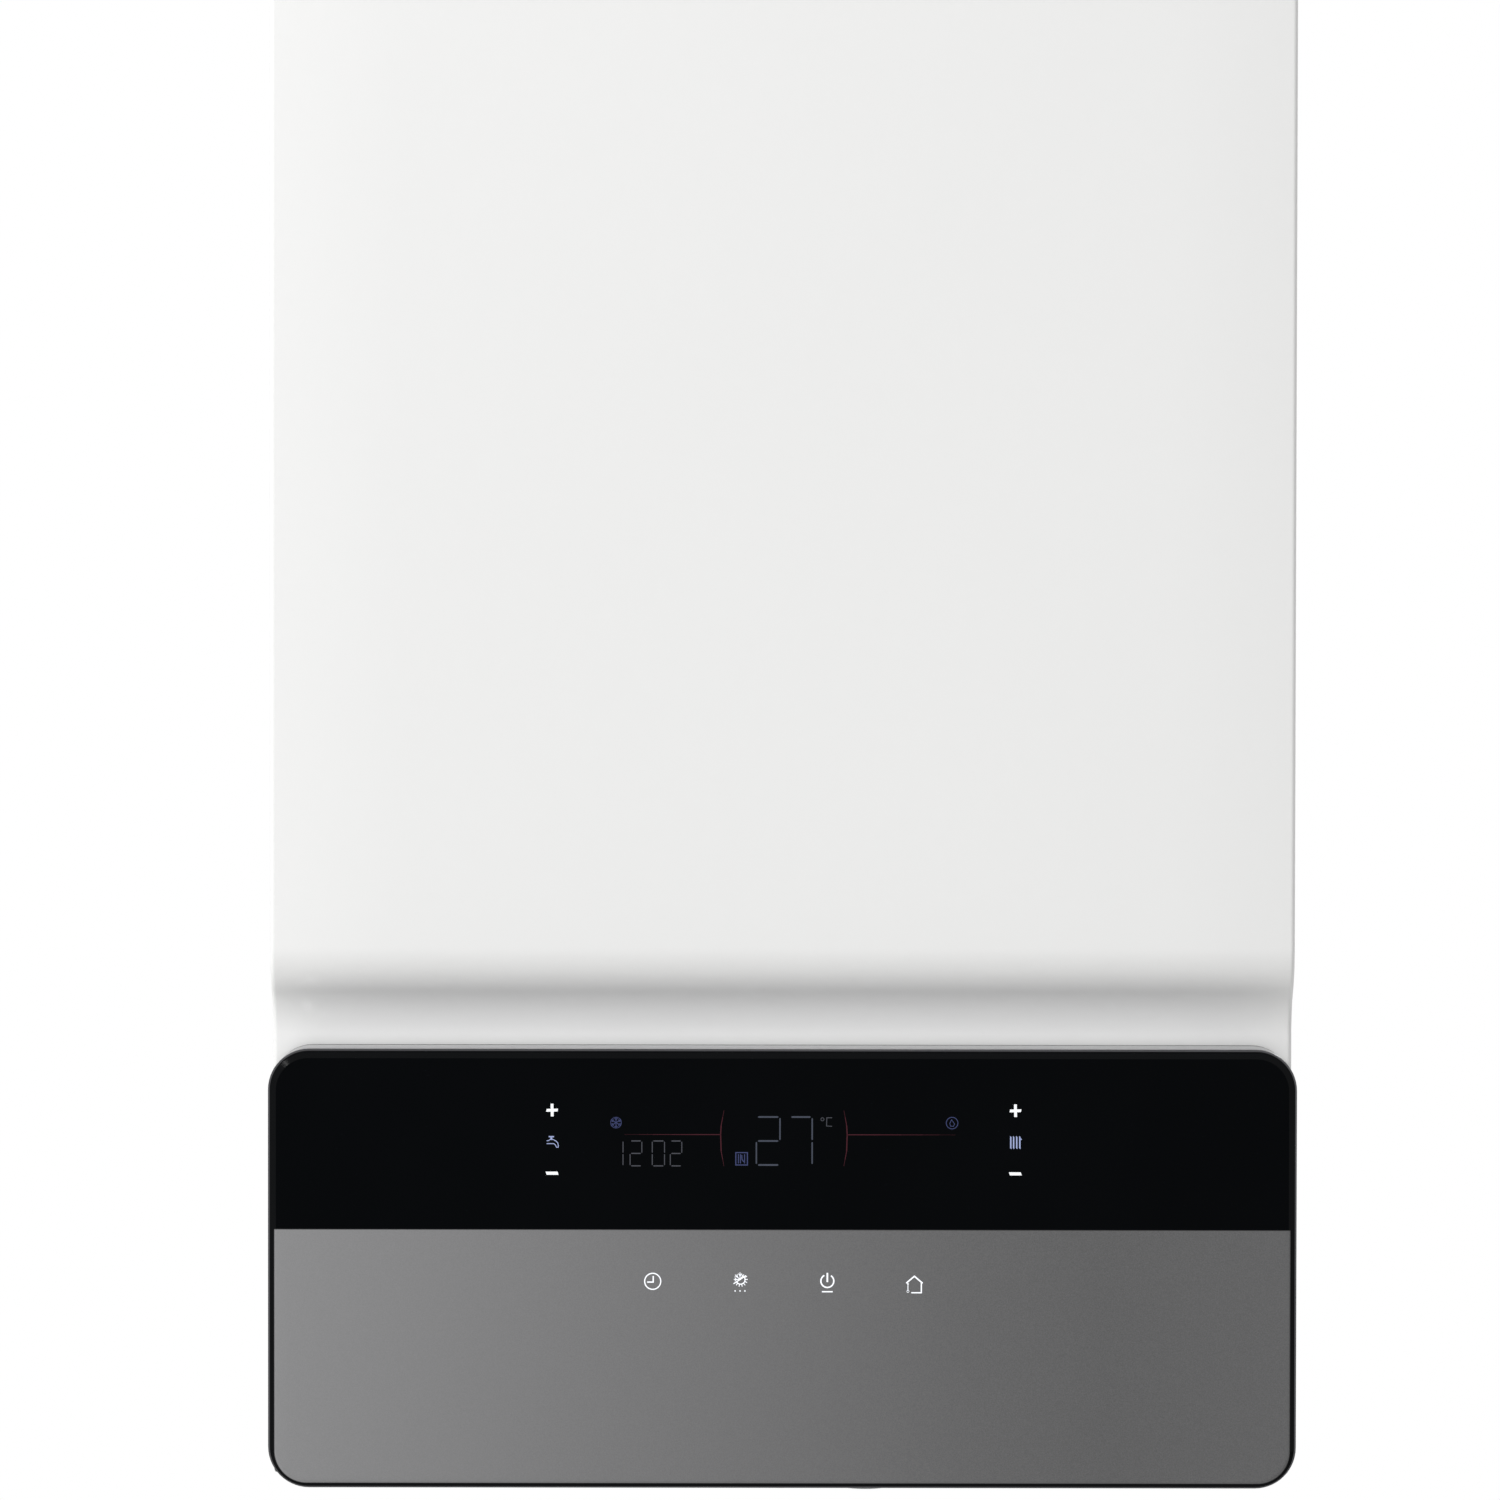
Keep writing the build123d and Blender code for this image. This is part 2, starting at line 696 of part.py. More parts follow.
def main_board():
    """Circuit board on the tray's plate, with its transformer, relays and a row of plugs."""
    low, high = box_bottom + tray_wall + 6, box_top - tray_wall - 6
    front = -tray_back + board_stand
    back = front + board_thickness
    half = box_half_width - main_board_margin
    board = block((-half, front, low), (half, back, high))
    bulky = [((20 - half, low + 12), (45, 40, 26)), ((90 - half, low + 10), (18, 14, 16)),
             ((114 - half, low + 10), (18, 14, 16)), ((half - 50, low + 12), (26, 60, 14))]
    for (x, z), (width, height, depth) in bulky:
        board += block((x, back, z), (x + width, back + depth, z + height))
    for place in range(4):
        x = -60 + place * 32
        board += block((x, back, high - 12), (x + 24, back + 11, high - 2))
    for x in (10 - half, half - 16):
        for z in (low + 4, high - 10):
            board += block((x, -tray_back, z), (x + 6, front, z + 6))
    return board


def touch_board():
    """Thin board bonded to the back of the glass, with a window for the display."""
    half = touch_board_width / 2
    board_back = -glass_back + board_thickness
    board = block((-half, -glass_back, touch_board_bottom), (half, board_back, touch_board_top))
    window, low, high = display_window(0.5)
    board -= block((-window, -glass_back - 1, low), (window, -glass_back + 3, high))
    chips = touch_board_bottom + 30
    for x in (-90, -34, 34, 90):
        board += block((x - 8, board_back, chips), (x + 8, board_back + 3, chips + 8))
    return board


def display_module():
    half, low, high = display_window(0)
    module = block((-half, -glass_back, low), (half, -glass_back + 9, high))
    module = chamfer(module.edges().filter_by(Axis.Y), 3)
    module += block((-half + 6, -glass_back + 9, low + 4), (half - 6, -tray_front + 1, high - 4))
    return module


def panel_hinge_pins():
    """Pins, fast in the casing's ears; the panel's cheeks turn on their ends."""
    inner = strip_outside - sheet - 3
    pin = rod(hinge_pin_radius, (inner, -hinge_depth, hinge_height), (half_width, -hinge_depth, hinge_height))
    return joined([pin, mirrored(pin)])


# ---------------------------------------------------------------- flue

def flue_air_collar():
    """Outer pipe of the concentric flue, standing on a square flange."""
    low, flange_top = casing_height, casing_height + collar_flange_thickness
    half = collar_flange / 2
    centre = Pos(flue_x, -flue_depth, 0)
    flange = centre * block((-half, -half, low), (half, half, flange_top))
    flange = chamfer(flange.edges().filter_by(Axis.Z), 12)
    collar = flange + rod(collar_radius, (flue_x, -flue_depth, low), (flue_x, -flue_depth, collar_top))
    bore = collar_radius - collar_wall
    collar -= prism(bore, (flue_x, -flue_depth, low - 1), (flue_x, -flue_depth, collar_top + 1), round_sides)
    return collar - screw_bores(upper_screws())


def flue_test_caps():
    """Caps over the two points where flue gas and air are sampled."""
    top = casing_height + collar_flange_thickness
    caps = []
    for side in (-1, 1):
        x, y = flue_x + side * cap_offset, -flue_depth
        caps.append(hexagon(12, (x, y, top), (x, y, top + 6)))
    return joined(caps)


def flue_duct():
    """Plastic pipe from the exchanger up through the air collar; the flue fits into its top."""
    axis = (flue_x, -flue_depth)
    bore = flue_radius + flue_fit
    duct = prism(bore + flue_wall, (*axis, case_top), (*axis, socket_top), round_sides)
    duct -= prism(bore - socket_step, (*axis, case_top - 1), (*axis, socket_stop + 1))
    return duct - rod(bore, (*axis, socket_stop), (*axis, socket_top + 1))


# ---------------------------------------------------------------- combustion

def case_outline(grow):
    """The exchanger's rounded-square outline on the front view."""
    size, corner = case_size + 2 * grow, case_corner + grow
    return Pos(burner_x, burner_height) * soft_rectangle(size, size, corner)


def burner_bar(radius, start_depth, end_depth, sides=12):
    """A many-sided bar on the burner's axis."""
    middle = (burner_x, burner_height)
    start, end = [(middle[0], -depth, middle[1]) for depth in (start_depth, end_depth)]
    return prism(radius, start, end, sides)


def exchanger_rail():
    """Rail across the casing that the exchanger's flange is bolted to."""
    back = exchanger_front - case_flange_thickness
    low = case_top + case_flange - rail_lap
    path = [(-back + rail_return, low + rail_height), (-back, low + rail_height), (-back, low)]
    return folded(path, Plane.YZ, half_width - sheet, both=True)


def exchanger_case():
    """Stainless shell, open to the front, with the hole that its flue gas leaves by."""
    shell = slab(case_outline(0), exchanger_back, exchanger_front)
    shell += slab(case_outline(case_flange), exchanger_front - case_flange_thickness, exchanger_front)
    shell -= slab(case_outline(-exchanger_wall), exchanger_back + exchanger_wall, exchanger_front + 1)
    hole = flue_radius + flue_fit - socket_step
    return shell - prism(hole, (flue_x, -flue_depth, burner_height), (flue_x, -flue_depth, case_top + 1))


def exchanger_coil():
    """Round stack of flattened stainless turns about the burner."""
    start, end = exchanger_back + exchanger_wall, exchanger_front - coil_clearance
    return burner_bar(coil_outer_radius, start, end) - burner_bar(coil_inner_radius, start - 1, end + 1)


def burner_head():
    """Metal-fibre burner that stands on the door and fires outwards all round."""
    return burner_bar(burner_radius, exchanger_front - burner_length, exchanger_front)


def mixture_duct():
    """The duct that bends from the fan's outlet to the middle of the door."""
    start = (fan_neck_x, -duct_depth, fan_mouth)
    corner = (fan_neck_x, -duct_depth, burner_height)
    end = (burner_x, -duct_depth, burner_height)
    section = chamfer(Rectangle(fan_neck_width + 2 * door_wall, duct_thickness).vertices(), duct_corner)
    return along(bent_route((start, corner, end), duct_bend), section)


def burner_door():
    """Cast door with radiating ribs, a dome over the burner and the duct from the fan."""
    edge = case_size / 2 + case_flange
    dome_front = door_front + door_dome_height
    door = slab(case_outline(case_flange), exchanger_front, door_front)
    door += slab(case_outline(-door_rim), door_front, door_front + door_step)
    rib_end = edge - door_rim - case_flange - 2
    rib = make_face(Polyline((door_dome_radius - 4, 0), (rib_end, 0), (rib_end, door_step + 2),
                             (door_dome_radius - 4, door_dome_height * 0.7), close=True))
    for place in range(door_ribs):
        # the ribs fan out over the side that the duct leaves free
        angle = radians(-120 + place * 240 / (door_ribs - 1))
        along, across = (cos(angle), 0, sin(angle)), (sin(angle), 0, -cos(angle))
        face = Plane(origin=(burner_x, -door_front, burner_height), x_dir=along, z_dir=across)
        door += face * extrude(rib, rib_thickness / 2, both=True)
    door += burner_bar(door_dome_radius, door_front, dome_front, round_sides)
    door += mixture_duct()
    half_x = fan_neck_width / 2 + door_wall + fan_flange
    half_y = duct_thickness / 2
    door += block((fan_neck_x - half_x, -duct_depth - half_y, fan_mouth),
                  (fan_neck_x + half_x, -duct_depth + half_y, fan_mouth + fan_flange_thickness))
    # hollow inside: up from the fan, along to the dome and back to the burner
    half = fan_neck_width / 2
    inside_y = half_y - door_wall
    door -= block((fan_neck_x - half, -duct_depth - inside_y, fan_mouth - 1),
                  (fan_neck_x + half, -duct_depth + inside_y, burner_height + half))
    door -= block((fan_neck_x - half, -duct_depth - inside_y, burner_height - half),
                  (burner_x, -duct_depth + inside_y, burner_height + half))
    return door - burner_bar(burner_radius - 8, exchanger_front - 1, duct_depth + inside_y)


def burner_door_nuts():
    """One nut in each corner and one in the middle of each side."""
    reach = case_size / 2 + case_flange - door_nut_inset
    diagonal = reach - case_corner * (1 - sqrt(0.5))
    places = [(x * diagonal, z * diagonal) for x in (-1, 1) for z in (-1, 1)]
    places += [(0, -reach), (0, reach), (reach, 0)]
    return joined([hexagon(6, (burner_x + x, -door_front, burner_height + z),
                           (burner_x + x, -door_front - 5, burner_height + z)) for x, z in places])


def electrode_places():
    return [(burner_x + 62, burner_height - 34), (burner_x + 62, burner_height - 16)]


def ignition_electrodes():
    """Ceramic stems on the door: one lights the burner, the other senses its flame."""
    start = -door_front - door_step
    return joined([hexagon(2 * electrode_radius, (x, start - electrode_stand, z), (x, start, z))
                   for x, z in electrode_places()])


def ignition_transformer():
    right, left = half_width - sheet, half_width - sheet - transformer_width
    low = burner_height - transformer_drop - transformer_height / 2
    back = transformer_length - transformer_front
    box = block((left, -transformer_front, low), (right, back, low + transformer_height))
    return box + block((left + 6, -transformer_front - transformer_plug, low + 7),
                       (right - 6, -transformer_front, low + transformer_height / 2))


def scroll_outline(inset):
    """Quarter arcs whose radius falls at each quarter turn, then the straight outlet neck."""
    radii = [scroll_radius - inset - quarter * scroll_step for quarter in range(4)]
    left, right = -(scroll_radius - inset), -scroll_radius + fan_neck_width + 2 * scroll_wall - inset
    reach = scroll_step - right
    top = fan_neck_height + (1 if inset else 0)
    centres = [(0, 0), (0, -scroll_step), (scroll_step, -scroll_step), (scroll_step, 0)]
    turns = [90, 90, 90, degrees(asin(reach / radii[3]))]
    points = []
    for quarter in range(4):
        arc = arc_points(centres[quarter], radii[quarter], 180 + 90 * quarter, turns[quarter], 4)
        points += arc if quarter == 0 else arc[1:]
    return Pos(fan_x, fan_height) * make_face(Polyline(*points, (right, top), (left, top), close=True))


def fan_bar(radius, start_depth, end_depth, sides=12):
    """A many-sided bar on the fan's axis."""
    return prism(radius, (fan_x, -start_depth, fan_height), (fan_x, -end_depth, fan_height), sides)


def fan_housing():
    """Scroll casing: the mixture comes in through the eye at the back and leaves up the neck."""
    housing = slab(scroll_outline(0), fan_back_depth, fan_front)
    half_x = fan_neck_width / 2 + door_wall + fan_flange
    half_y = duct_thickness / 2
    housing += block((fan_neck_x - half_x, -duct_depth - half_y, fan_mouth - fan_flange_thickness),
                     (fan_neck_x + half_x, -duct_depth + half_y, fan_mouth))
    housing -= slab(scroll_outline(scroll_wall), fan_back_depth + scroll_wall, fan_front - scroll_wall)
    return housing - fan_bar(fan_eye_radius, fan_back_depth - 1, fan_front + 1)


def vane_wheel(hub_flats, radius, vanes, back_depth, front_depth, shaft_end, lean):
    """Six-sided hub on a round shaft, with flat vanes that lean away from the radial line."""
    wheel = hexagon(hub_flats, (0, -front_depth, 0), (0, -back_depth, 0))
    wheel += rod(shaft_radius, (0, -front_depth, 0), (0, -shaft_end, 0))
    inner = hub_flats / 2 - 1
    vane = block((inner, -front_depth, -vane_thickness / 2), (radius, -back_depth, vane_thickness / 2))
    tilted = Pos(inner, 0, 0) * Rot(0, lean, 0) * Pos(-inner, 0, 0) * vane
    for place in range(vanes):
        wheel += Rot(0, place * 360 / vanes, 0) * tilted
    return wheel


def fan_impeller():
    wheel = vane_wheel(18, impeller_radius, impeller_vanes, fan_back_depth + scroll_wall + 4,
                       fan_front - scroll_wall - 3, fan_front + motor_length - 8, 20)
    return Pos(fan_x, 0, fan_height) * wheel


def fan_motor():
    """Front motor: it closes the scroll, and the impeller's shaft runs in its bearing."""
    front = fan_front + motor_length
    motor = fan_bar(motor_radius, fan_front, front, round_sides)
    motor -= rod(shaft_radius + shaft_clearance, (fan_x, -fan_front + 1, fan_height),
                 (fan_x, -front + 6, fan_height))
    return motor + block((fan_x + 8, -front + 3, fan_height - motor_radius - 12),
                         (fan_x + 30, -fan_front, fan_height - motor_radius / 2))


def venturi_mixer():
    """Cast block: air comes through its throat from the silencer, gas in from below."""
    half = fan_eye_radius + venturi_wall
    mixer = block((fan_x - half, -fan_back_depth, fan_height - half),
                  (fan_x + half, -silencer_front, fan_height + half))
    mixer = chamfer(mixer.edges().filter_by(Axis.Y), 8)
    mixer += block((fan_x - 13, -gas_valve_depth - 13, feed_top),
                   (fan_x + 13, -gas_valve_depth + 13, fan_height - half))
    return mixer - fan_bar(venturi_throat_radius, silencer_front - 1, fan_back_depth + 1)


def air_silencer():
    """Moulded box on the left side: slots let air in at the top, a hole leads to the mixer."""
    left = -half_width + sheet
    back = silencer_front - silencer_length
    box = block((left, -silencer_front, silencer_bottom), (left + silencer_width, -back, silencer_top))
    box -= block((left + silencer_wall, -silencer_front + silencer_wall, silencer_bottom + silencer_wall),
                 (left + silencer_width - silencer_wall, -back - silencer_wall, silencer_top - silencer_wall))
    for place in range(4):
        x = left + 14 + place * 18
        box -= block((x, -silencer_front + 8, silencer_top - 5), (x + 10, -back - 8, silencer_top + 1))
    return box - fan_bar(venturi_throat_radius, silencer_front - 5, silencer_front + 1)


def gas_valve_body():
    """Cast body between the supply pipe and the feed pipe, with a test nipple on its side."""
    low, high = gas_valve_bottom, gas_valve_bottom + gas_valve_height
    left, right = gas_x - gas_valve_half, gas_x + gas_valve_half
    front, back = gas_valve_depth + gas_valve_half, tail_depth - gas_valve_half
    body = block((left, -front, low), (right, -back, high))
    body = chamfer(body.edges().filter_by(Axis.Z), 5)
    body += hexagon(28, (gas_x, -tail_depth, low - 10), (gas_x, -tail_depth, low))
    body += hexagon(28, (gas_x, -gas_valve_depth, high), (gas_x, -gas_valve_depth, high + 8))
    return body + hexagon(10, (left, -gas_valve_depth, low + 14), (left - 10, -gas_valve_depth, low + 14))


def gas_valve_coils():
    """The two solenoids that open the valve."""
    front = gas_valve_depth + gas_valve_half
    quarter = gas_valve_height / 4
    heights = (gas_valve_bottom + quarter, gas_valve_bottom + 3 * quarter)
    return joined([prism(coil_radius, (gas_x, -front, z), (gas_x, -front - coil_length, z)) for z in heights])


def gas_feed_pipe():
    """From the valve's top across to the fan's side and up to the mixer, with a nut at each end."""
    depth, start = -gas_valve_depth, gas_valve_bottom + gas_valve_height + 8
    points = [(gas_x, depth, start), (gas_x, depth, gas_feed_height), (fan_x, depth, gas_feed_height),
              (fan_x, depth, feed_top)]
    tube = along(bent_route(points, gas_feed_bend), RegularPolygon(gas_pipe_radius, 8))
    for x, low in ((gas_x, start), (fan_x, feed_top - 12)):
        tube += hexagon(24, (x, depth, low), (x, depth, low + 12))
    return tube


def pipe_tail(x, radius, bore):
    """Threaded tail below the casing, with its hexagon."""
    thread_top = tail_bottom + thread_length
    tail = rod(radius, (x, -tail_depth, tail_bottom), (x, -tail_depth, thread_top))
    tail += hexagon(2 * radius + 6, (x, -tail_depth, thread_top), (x, -tail_depth, -block_drop))
    return tail - prism(bore, (x, -tail_depth, tail_bottom - 1), (x, -tail_depth, thread_top), 8)


def gas_supply_pipe():
    """Straight up from its threaded tail to the gas valve."""
    inlet = (gas_x, -tail_depth, gas_valve_bottom - 10)
    tube = pipe_tail(gas_x, large_tail_radius, large_bore)
    tube += prism(large_tail_radius, (gas_x, -tail_depth, -block_drop), (gas_x, -tail_depth, sheet), 8)
    tube += hexagon(36, (gas_x, -tail_depth, sheet), (gas_x, -tail_depth, sheet + 7))
    return tube + prism(gas_pipe_radius, (gas_x, -tail_depth, sheet), inlet, 8)


# ---------------------------------------------------------------- expansion vessel

def vessel_half(outer_depth, rim_depth):
    """One pressed half of the vessel; its rim meets the other half's."""
    middle = (vessel_bottom + vessel_top) / 2
    height = vessel_top - vessel_bottom
    near, far = sorted((outer_depth, rim_depth))
    outline = Pos(0, middle) * soft_rectangle(vessel_width, height, vessel_corner)
    inside = 2 * vessel_wall
    hollow = soft_rectangle(vessel_width - inside, height - inside, vessel_corner - vessel_wall)
    floor = outer_depth + (vessel_wall if outer_depth < rim_depth else -vessel_wall)
    cut_near, cut_far = sorted((floor, rim_depth + (1 if rim_depth > outer_depth else -1)))
    return slab(outline, near, far) - slab(Pos(0, middle) * hollow, cut_near, cut_far)


def expansion_vessel_rear():
    return vessel_half(back_face, vessel_middle - diaphragm_thickness / 2)


def expansion_vessel_front():
    return vessel_half(vessel_front, vessel_middle + diaphragm_thickness / 2)


def vessel_diaphragm():
    height = vessel_top - vessel_bottom
    outline = Pos(0, (vessel_bottom + vessel_top) / 2) * soft_rectangle(vessel_width, height, vessel_corner)
    return slab(outline, vessel_middle - diaphragm_thickness / 2, vessel_middle + diaphragm_thickness / 2)


def vessel_pipe():
    """Straight down from the vessel to the lug on the pump housing."""
    at = (vessel_port_x, -vessel_port_depth)
    return prism(small_pipe_radius, (*at, pump_height + lug_half), (*at, vessel_bottom), 8)


# ---------------------------------------------------------------- water side

def plate_heat_exchanger():
    """Brazed stack of plates: every second plate stands in a little."""
    pitch = (plate_exchanger_front - back_face) / plate_count
    middle = (plate_exchanger_bottom + plate_exchanger_top) / 2
    height = plate_exchanger_top - plate_exchanger_bottom
    layers = []
    for place in range(plate_count):
        inset = plate_step * (place % 2)
        outline = Pos(0, middle) * Rectangle(plate_exchanger_width - 2 * inset, height - 2 * inset)
        outline = chamfer(outline.vertices(), plate_corner)
        layers.append(slab(outline, back_face + place * pitch, back_face + (place + 1) * pitch))
    return layers[0] + layers[1:]


def manifold(low_x, high_x, side):
    """Moulded block on the bottom plate, with the arm that reaches the plate exchanger's ports."""
    body = block((low_x, -block_front, -block_drop), (high_x, -block_back, block_top))
    body += block((low_x - block_lap, -block_front - block_lap, sheet),
                  (high_x + block_lap, -block_back + block_lap, sheet + 4))
    arm_low, arm_high = sorted((side * (port_x - column / 2), side * (port_x + column / 2)))
    return body + block((arm_low, -tail_depth, plate_exchanger_bottom + 4),
                        (arm_high, -plate_exchanger_front, plate_exchanger_top - 4))


def column_up(x, top, width):
    """Square column of a manifold, about a tail's axis."""
    half = width / 2
    return block((x - half, -tail_depth - half, block_top), (x + half, -tail_depth + half, top))


def flow_manifold():
    """Left block: heating flow with the diverter's chamber, and the hot water outlet."""
    (low_x, high_x), _ = manifold_spans
    half = column / 2
    casting = manifold(low_x, high_x, -1)
    casting += pipe_tail(flow_x, large_tail_radius, large_bore)
    casting += pipe_tail(hot_x, small_tail_radius, small_bore)
    casting += column_up(flow_x, diverter_seat, manifold_column)
    casting += column_up(hot_x, plate_exchanger_bottom + 10, column)
    # channel from the exchanger's flow pipe to the diverter
    casting += block((flow_x, -tail_depth - half, flow_socket_top - column),
                     (water_ports[0] + half, -tail_depth + half, flow_socket_top))
    chamber, floor = (flow_x, -tail_depth), diverter_seat - chamber_depth
    casting -= prism(chamber_radius, (*chamber, floor), (*chamber, diverter_seat + 1), 8)
    # seat of the safety valve, and the foot that its drain stands on
    front = -tail_depth - manifold_column / 2
    casting += block((flow_x - 10, -relief_seat, relief_height - 10),
                     (flow_x + 10, front, relief_height + 10))
    return casting + block((flow_x - 12, -relief_drain_depth - 12, sheet),
                           (flow_x + 12, -block_front, sheet + 4))


def return_manifold():
    """Right block: cold inlet with the flow turbine's chamber, heating return and the filling link."""
    _, (low_x, high_x) = manifold_spans
    casting = manifold(low_x, high_x, 1)
    casting += pipe_tail(return_x, large_tail_radius, large_bore)
    casting += pipe_tail(cold_x, small_tail_radius, small_bore)
    casting += column_up(return_x, pump_neck_bottom, manifold_column)
    casting += column_up(cold_x, plate_exchanger_bottom + 20, column)
    chamber = (cold_x, -tail_depth)
    low, high = turbine_bottom - 0.1, turbine_top + 0.1
    casting -= prism(turbine_radius + turbine_gap, (*chamber, low), (*chamber, high), 8)
    spindle = fill_spindle_radius + shaft_clearance
    spindle_line = ((fill_tap_x, -tail_depth, -block_drop - 1), (fill_tap_x, -tail_depth, block_top - 6))
    return casting - rod(spindle, *spindle_line)


def diverter_motor():
    """Actuator clipped on the diverter's chamber; the stem works up and down inside it."""
    half, top = diverter_width / 2, diverter_seat + diverter_height
    front = -tail_depth - diverter_front
    body = block((flow_x - half, front, diverter_seat), (flow_x + half, -tail_depth + diverter_back, top))
    body = chamfer(body.edges().filter_by(Axis.Z), 4)
    body += block((flow_x - half / 2, front - 8, top - 22), (flow_x + half / 2, front, top - 8))
    return body - rod(stem_radius + shaft_clearance, (flow_x, -tail_depth, diverter_seat - 1),
                      (flow_x, -tail_depth, top - 12))


def diverter_stem():
    """Stem with its six-sided paddle, which closes one way or the other."""
    low = diverter_seat - chamber_depth + 6
    stem = rod(stem_radius, (flow_x, -tail_depth, low), (flow_x, -tail_depth, diverter_seat + 24))
    return stem + hexagon(2 * chamber_radius - 4, (flow_x, -tail_depth, low), (flow_x, -tail_depth, low + 5))


def pump_outline(radius):
    return Pos(pump_x, pump_height) * RegularPolygon(radius, 16)


def pump_housing():
    """Volute with its inlet neck below, its outlet neck above and a lug for the vessel's pipe."""
    body = slab(pump_outline(pump_radius), pump_back, pump_front)
    half = column / 2
    down, up = return_x, water_ports[1]
    back, front = -tail_depth + half, -tail_depth - half
    body += block((down - half, front, pump_neck_bottom), (down + half, back, pump_height))
    flange = half + 5
    body += block((down - flange, -tail_depth - flange, pump_neck_bottom),
                  (down + flange, -tail_depth + flange, pump_neck_bottom + 4))
    body += block((up - half, front, pump_height), (up + half, back, pump_neck_top))
    body += block((vessel_port_x - lug_half, -pump_back, pump_height - lug_half),
                  (vessel_port_x + lug_half, -vessel_port_depth + lug_half, pump_height + lug_half))
    vent_half = 9
    body += block((vent_x - vent_half, -tail_depth - vent_half, pump_height),
                  (vent_x + vent_half, -tail_depth + vent_half, vent_seat))
    body -= slab(pump_outline(pump_impeller_radius + 2), pump_back + 5, pump_front + 1)
    return body


def pump_motor():
    """Motor with its square electronics housing in front; the impeller's shaft runs in it."""
    flange, half, far = pump_radius - 4, pump_motor_half, pump_front + pump_motor_length
    low, high = (pump_x - flange, pump_height - flange), (pump_x + flange, pump_height + flange)
    plate = block((low[0], -pump_front - 6, low[1]), (high[0], -pump_front, high[1]))
    motor = chamfer(plate.edges().filter_by(Axis.Y), 14)
    can = block((pump_x - half, -far, pump_height - half),
                (pump_x + half, -pump_front - 6, pump_height + half))
    motor += chamfer(can.edges().filter_by(Axis.Y) + can.faces().sort_by(Axis.Y)[0].edges(), 6)
    shaft = shaft_radius + shaft_clearance
    return motor - rod(shaft, (pump_x, -pump_front + 1, pump_height),
                       (pump_x, -pump_front - pump_shaft - 3, pump_height))


def pump_impeller():
    wheel = vane_wheel(14, pump_impeller_radius, pump_vanes, pump_back + 8, pump_front - 3,
                       pump_front + pump_shaft, 30)
    return Pos(pump_x, 0, pump_height) * wheel


def air_vent():
    """Automatic vent on the pump's highest point, with its screw cap."""
    base = hexagon(20, (vent_x, -tail_depth, vent_seat), (vent_x, -tail_depth, vent_seat + 26))
    return base + hexagon(10, (vent_x, -tail_depth, vent_seat + 26), (vent_x, -tail_depth, vent_seat + 36))


def flow_turbine():
    """Bladed wheel in the cold inlet; the electronics count its turns."""
    wheel = hexagon(5, (0, 0, turbine_bottom), (0, 0, turbine_top))
    blade = block((1, -0.6, turbine_bottom + 1), (turbine_radius, 0.6, turbine_top - 1))
    for place in range(turbine_blades):
        wheel += Rot(0, 0, place * 360 / turbine_blades) * blade
    return Pos(cold_x, -tail_depth, 0) * wheel


def safety_valve():
    """Relief valve in front of the flow block, with its discharge pipe."""
    front = -relief_seat - relief_length
    valve = hexagon(24, (flow_x, -relief_seat, relief_height), (flow_x, front, relief_height))
    drain = (flow_x, -relief_drain_depth)
    valve += prism(relief_pipe_radius, (*drain, sheet + 4), (*drain, relief_height), 8)
    return valve - rod(stem_radius + shaft_clearance, (flow_x, front - 1, relief_height),
                       (flow_x, front + knob_stem + 1, relief_height))


def grip_knob(radius, length, lobes):
    """A moulded knob: lobes round a hub, its foot at the origin and its axis up."""
    lobe = block((-radius * 0.35, 0, 0), (radius * 0.35, radius, length))
    knob = hexagon(radius * 1.3, (0, 0, 0), (0, 0, length))
    for place in range(lobes):
        knob += Rot(0, 0, place * 360 / lobes) * lobe
    return knob


def safety_valve_knob():
    front = -relief_seat - relief_length
    foot = (flow_x, front - knob_gap, relief_height)
    knob = Plane(origin=foot, z_dir=(0, -1, 0)) * grip_knob(valve_knob_radius, valve_knob_length, 4)
    return knob + rod(stem_radius, foot, (flow_x, front + knob_stem, relief_height))


def fill_tap_knob():
    """Knob under the casing, fast on the filling tap's spindle."""
    foot = -block_drop - knob_gap - fill_knob_length
    knob = Pos(fill_tap_x, -tail_depth, foot) * grip_knob(fill_knob_radius, fill_knob_length, 5)
    top = (fill_tap_x, -tail_depth, block_top - 8)
    return knob + rod(fill_spindle_radius, (fill_tap_x, -tail_depth, foot), top)


def water_pipe(x, low, high, nuts):
    """Straight copper pipe between two sockets, with a union nut at each end."""
    tube = prism(copper_radius, (x, -tail_depth, low), (x, -tail_depth, high), 8)
    for z in nuts:
        tube += hexagon(24, (x, -tail_depth, z), (x, -tail_depth, z + nut_height))
    return tube


def flow_pipe():
    low = flow_socket_top
    return water_pipe(water_ports[0], low, case_bottom, (low, case_bottom - nut_height))


def return_pipe():
    low = pump_neck_top
    return water_pipe(water_ports[1], low, case_bottom, (low, case_bottom - nut_height))


def condensate_siphon():
    """Moulded trap under the exchanger, with a screwed cup at its foot."""
    half = siphon_width / 2
    body = Pos(burner_x, -flue_depth, 0) * block((-half, -half, siphon_bottom), (half, half, siphon_top))
    body = chamfer(body.edges().filter_by(Axis.Z), 8)
    body += hexagon(24, (burner_x, -flue_depth, siphon_top), (burner_x, -flue_depth, case_bottom))
    return body + hexagon(36, (burner_x, -flue_depth, siphon_bottom - cup_height),
                          (burner_x, -flue_depth, siphon_bottom))


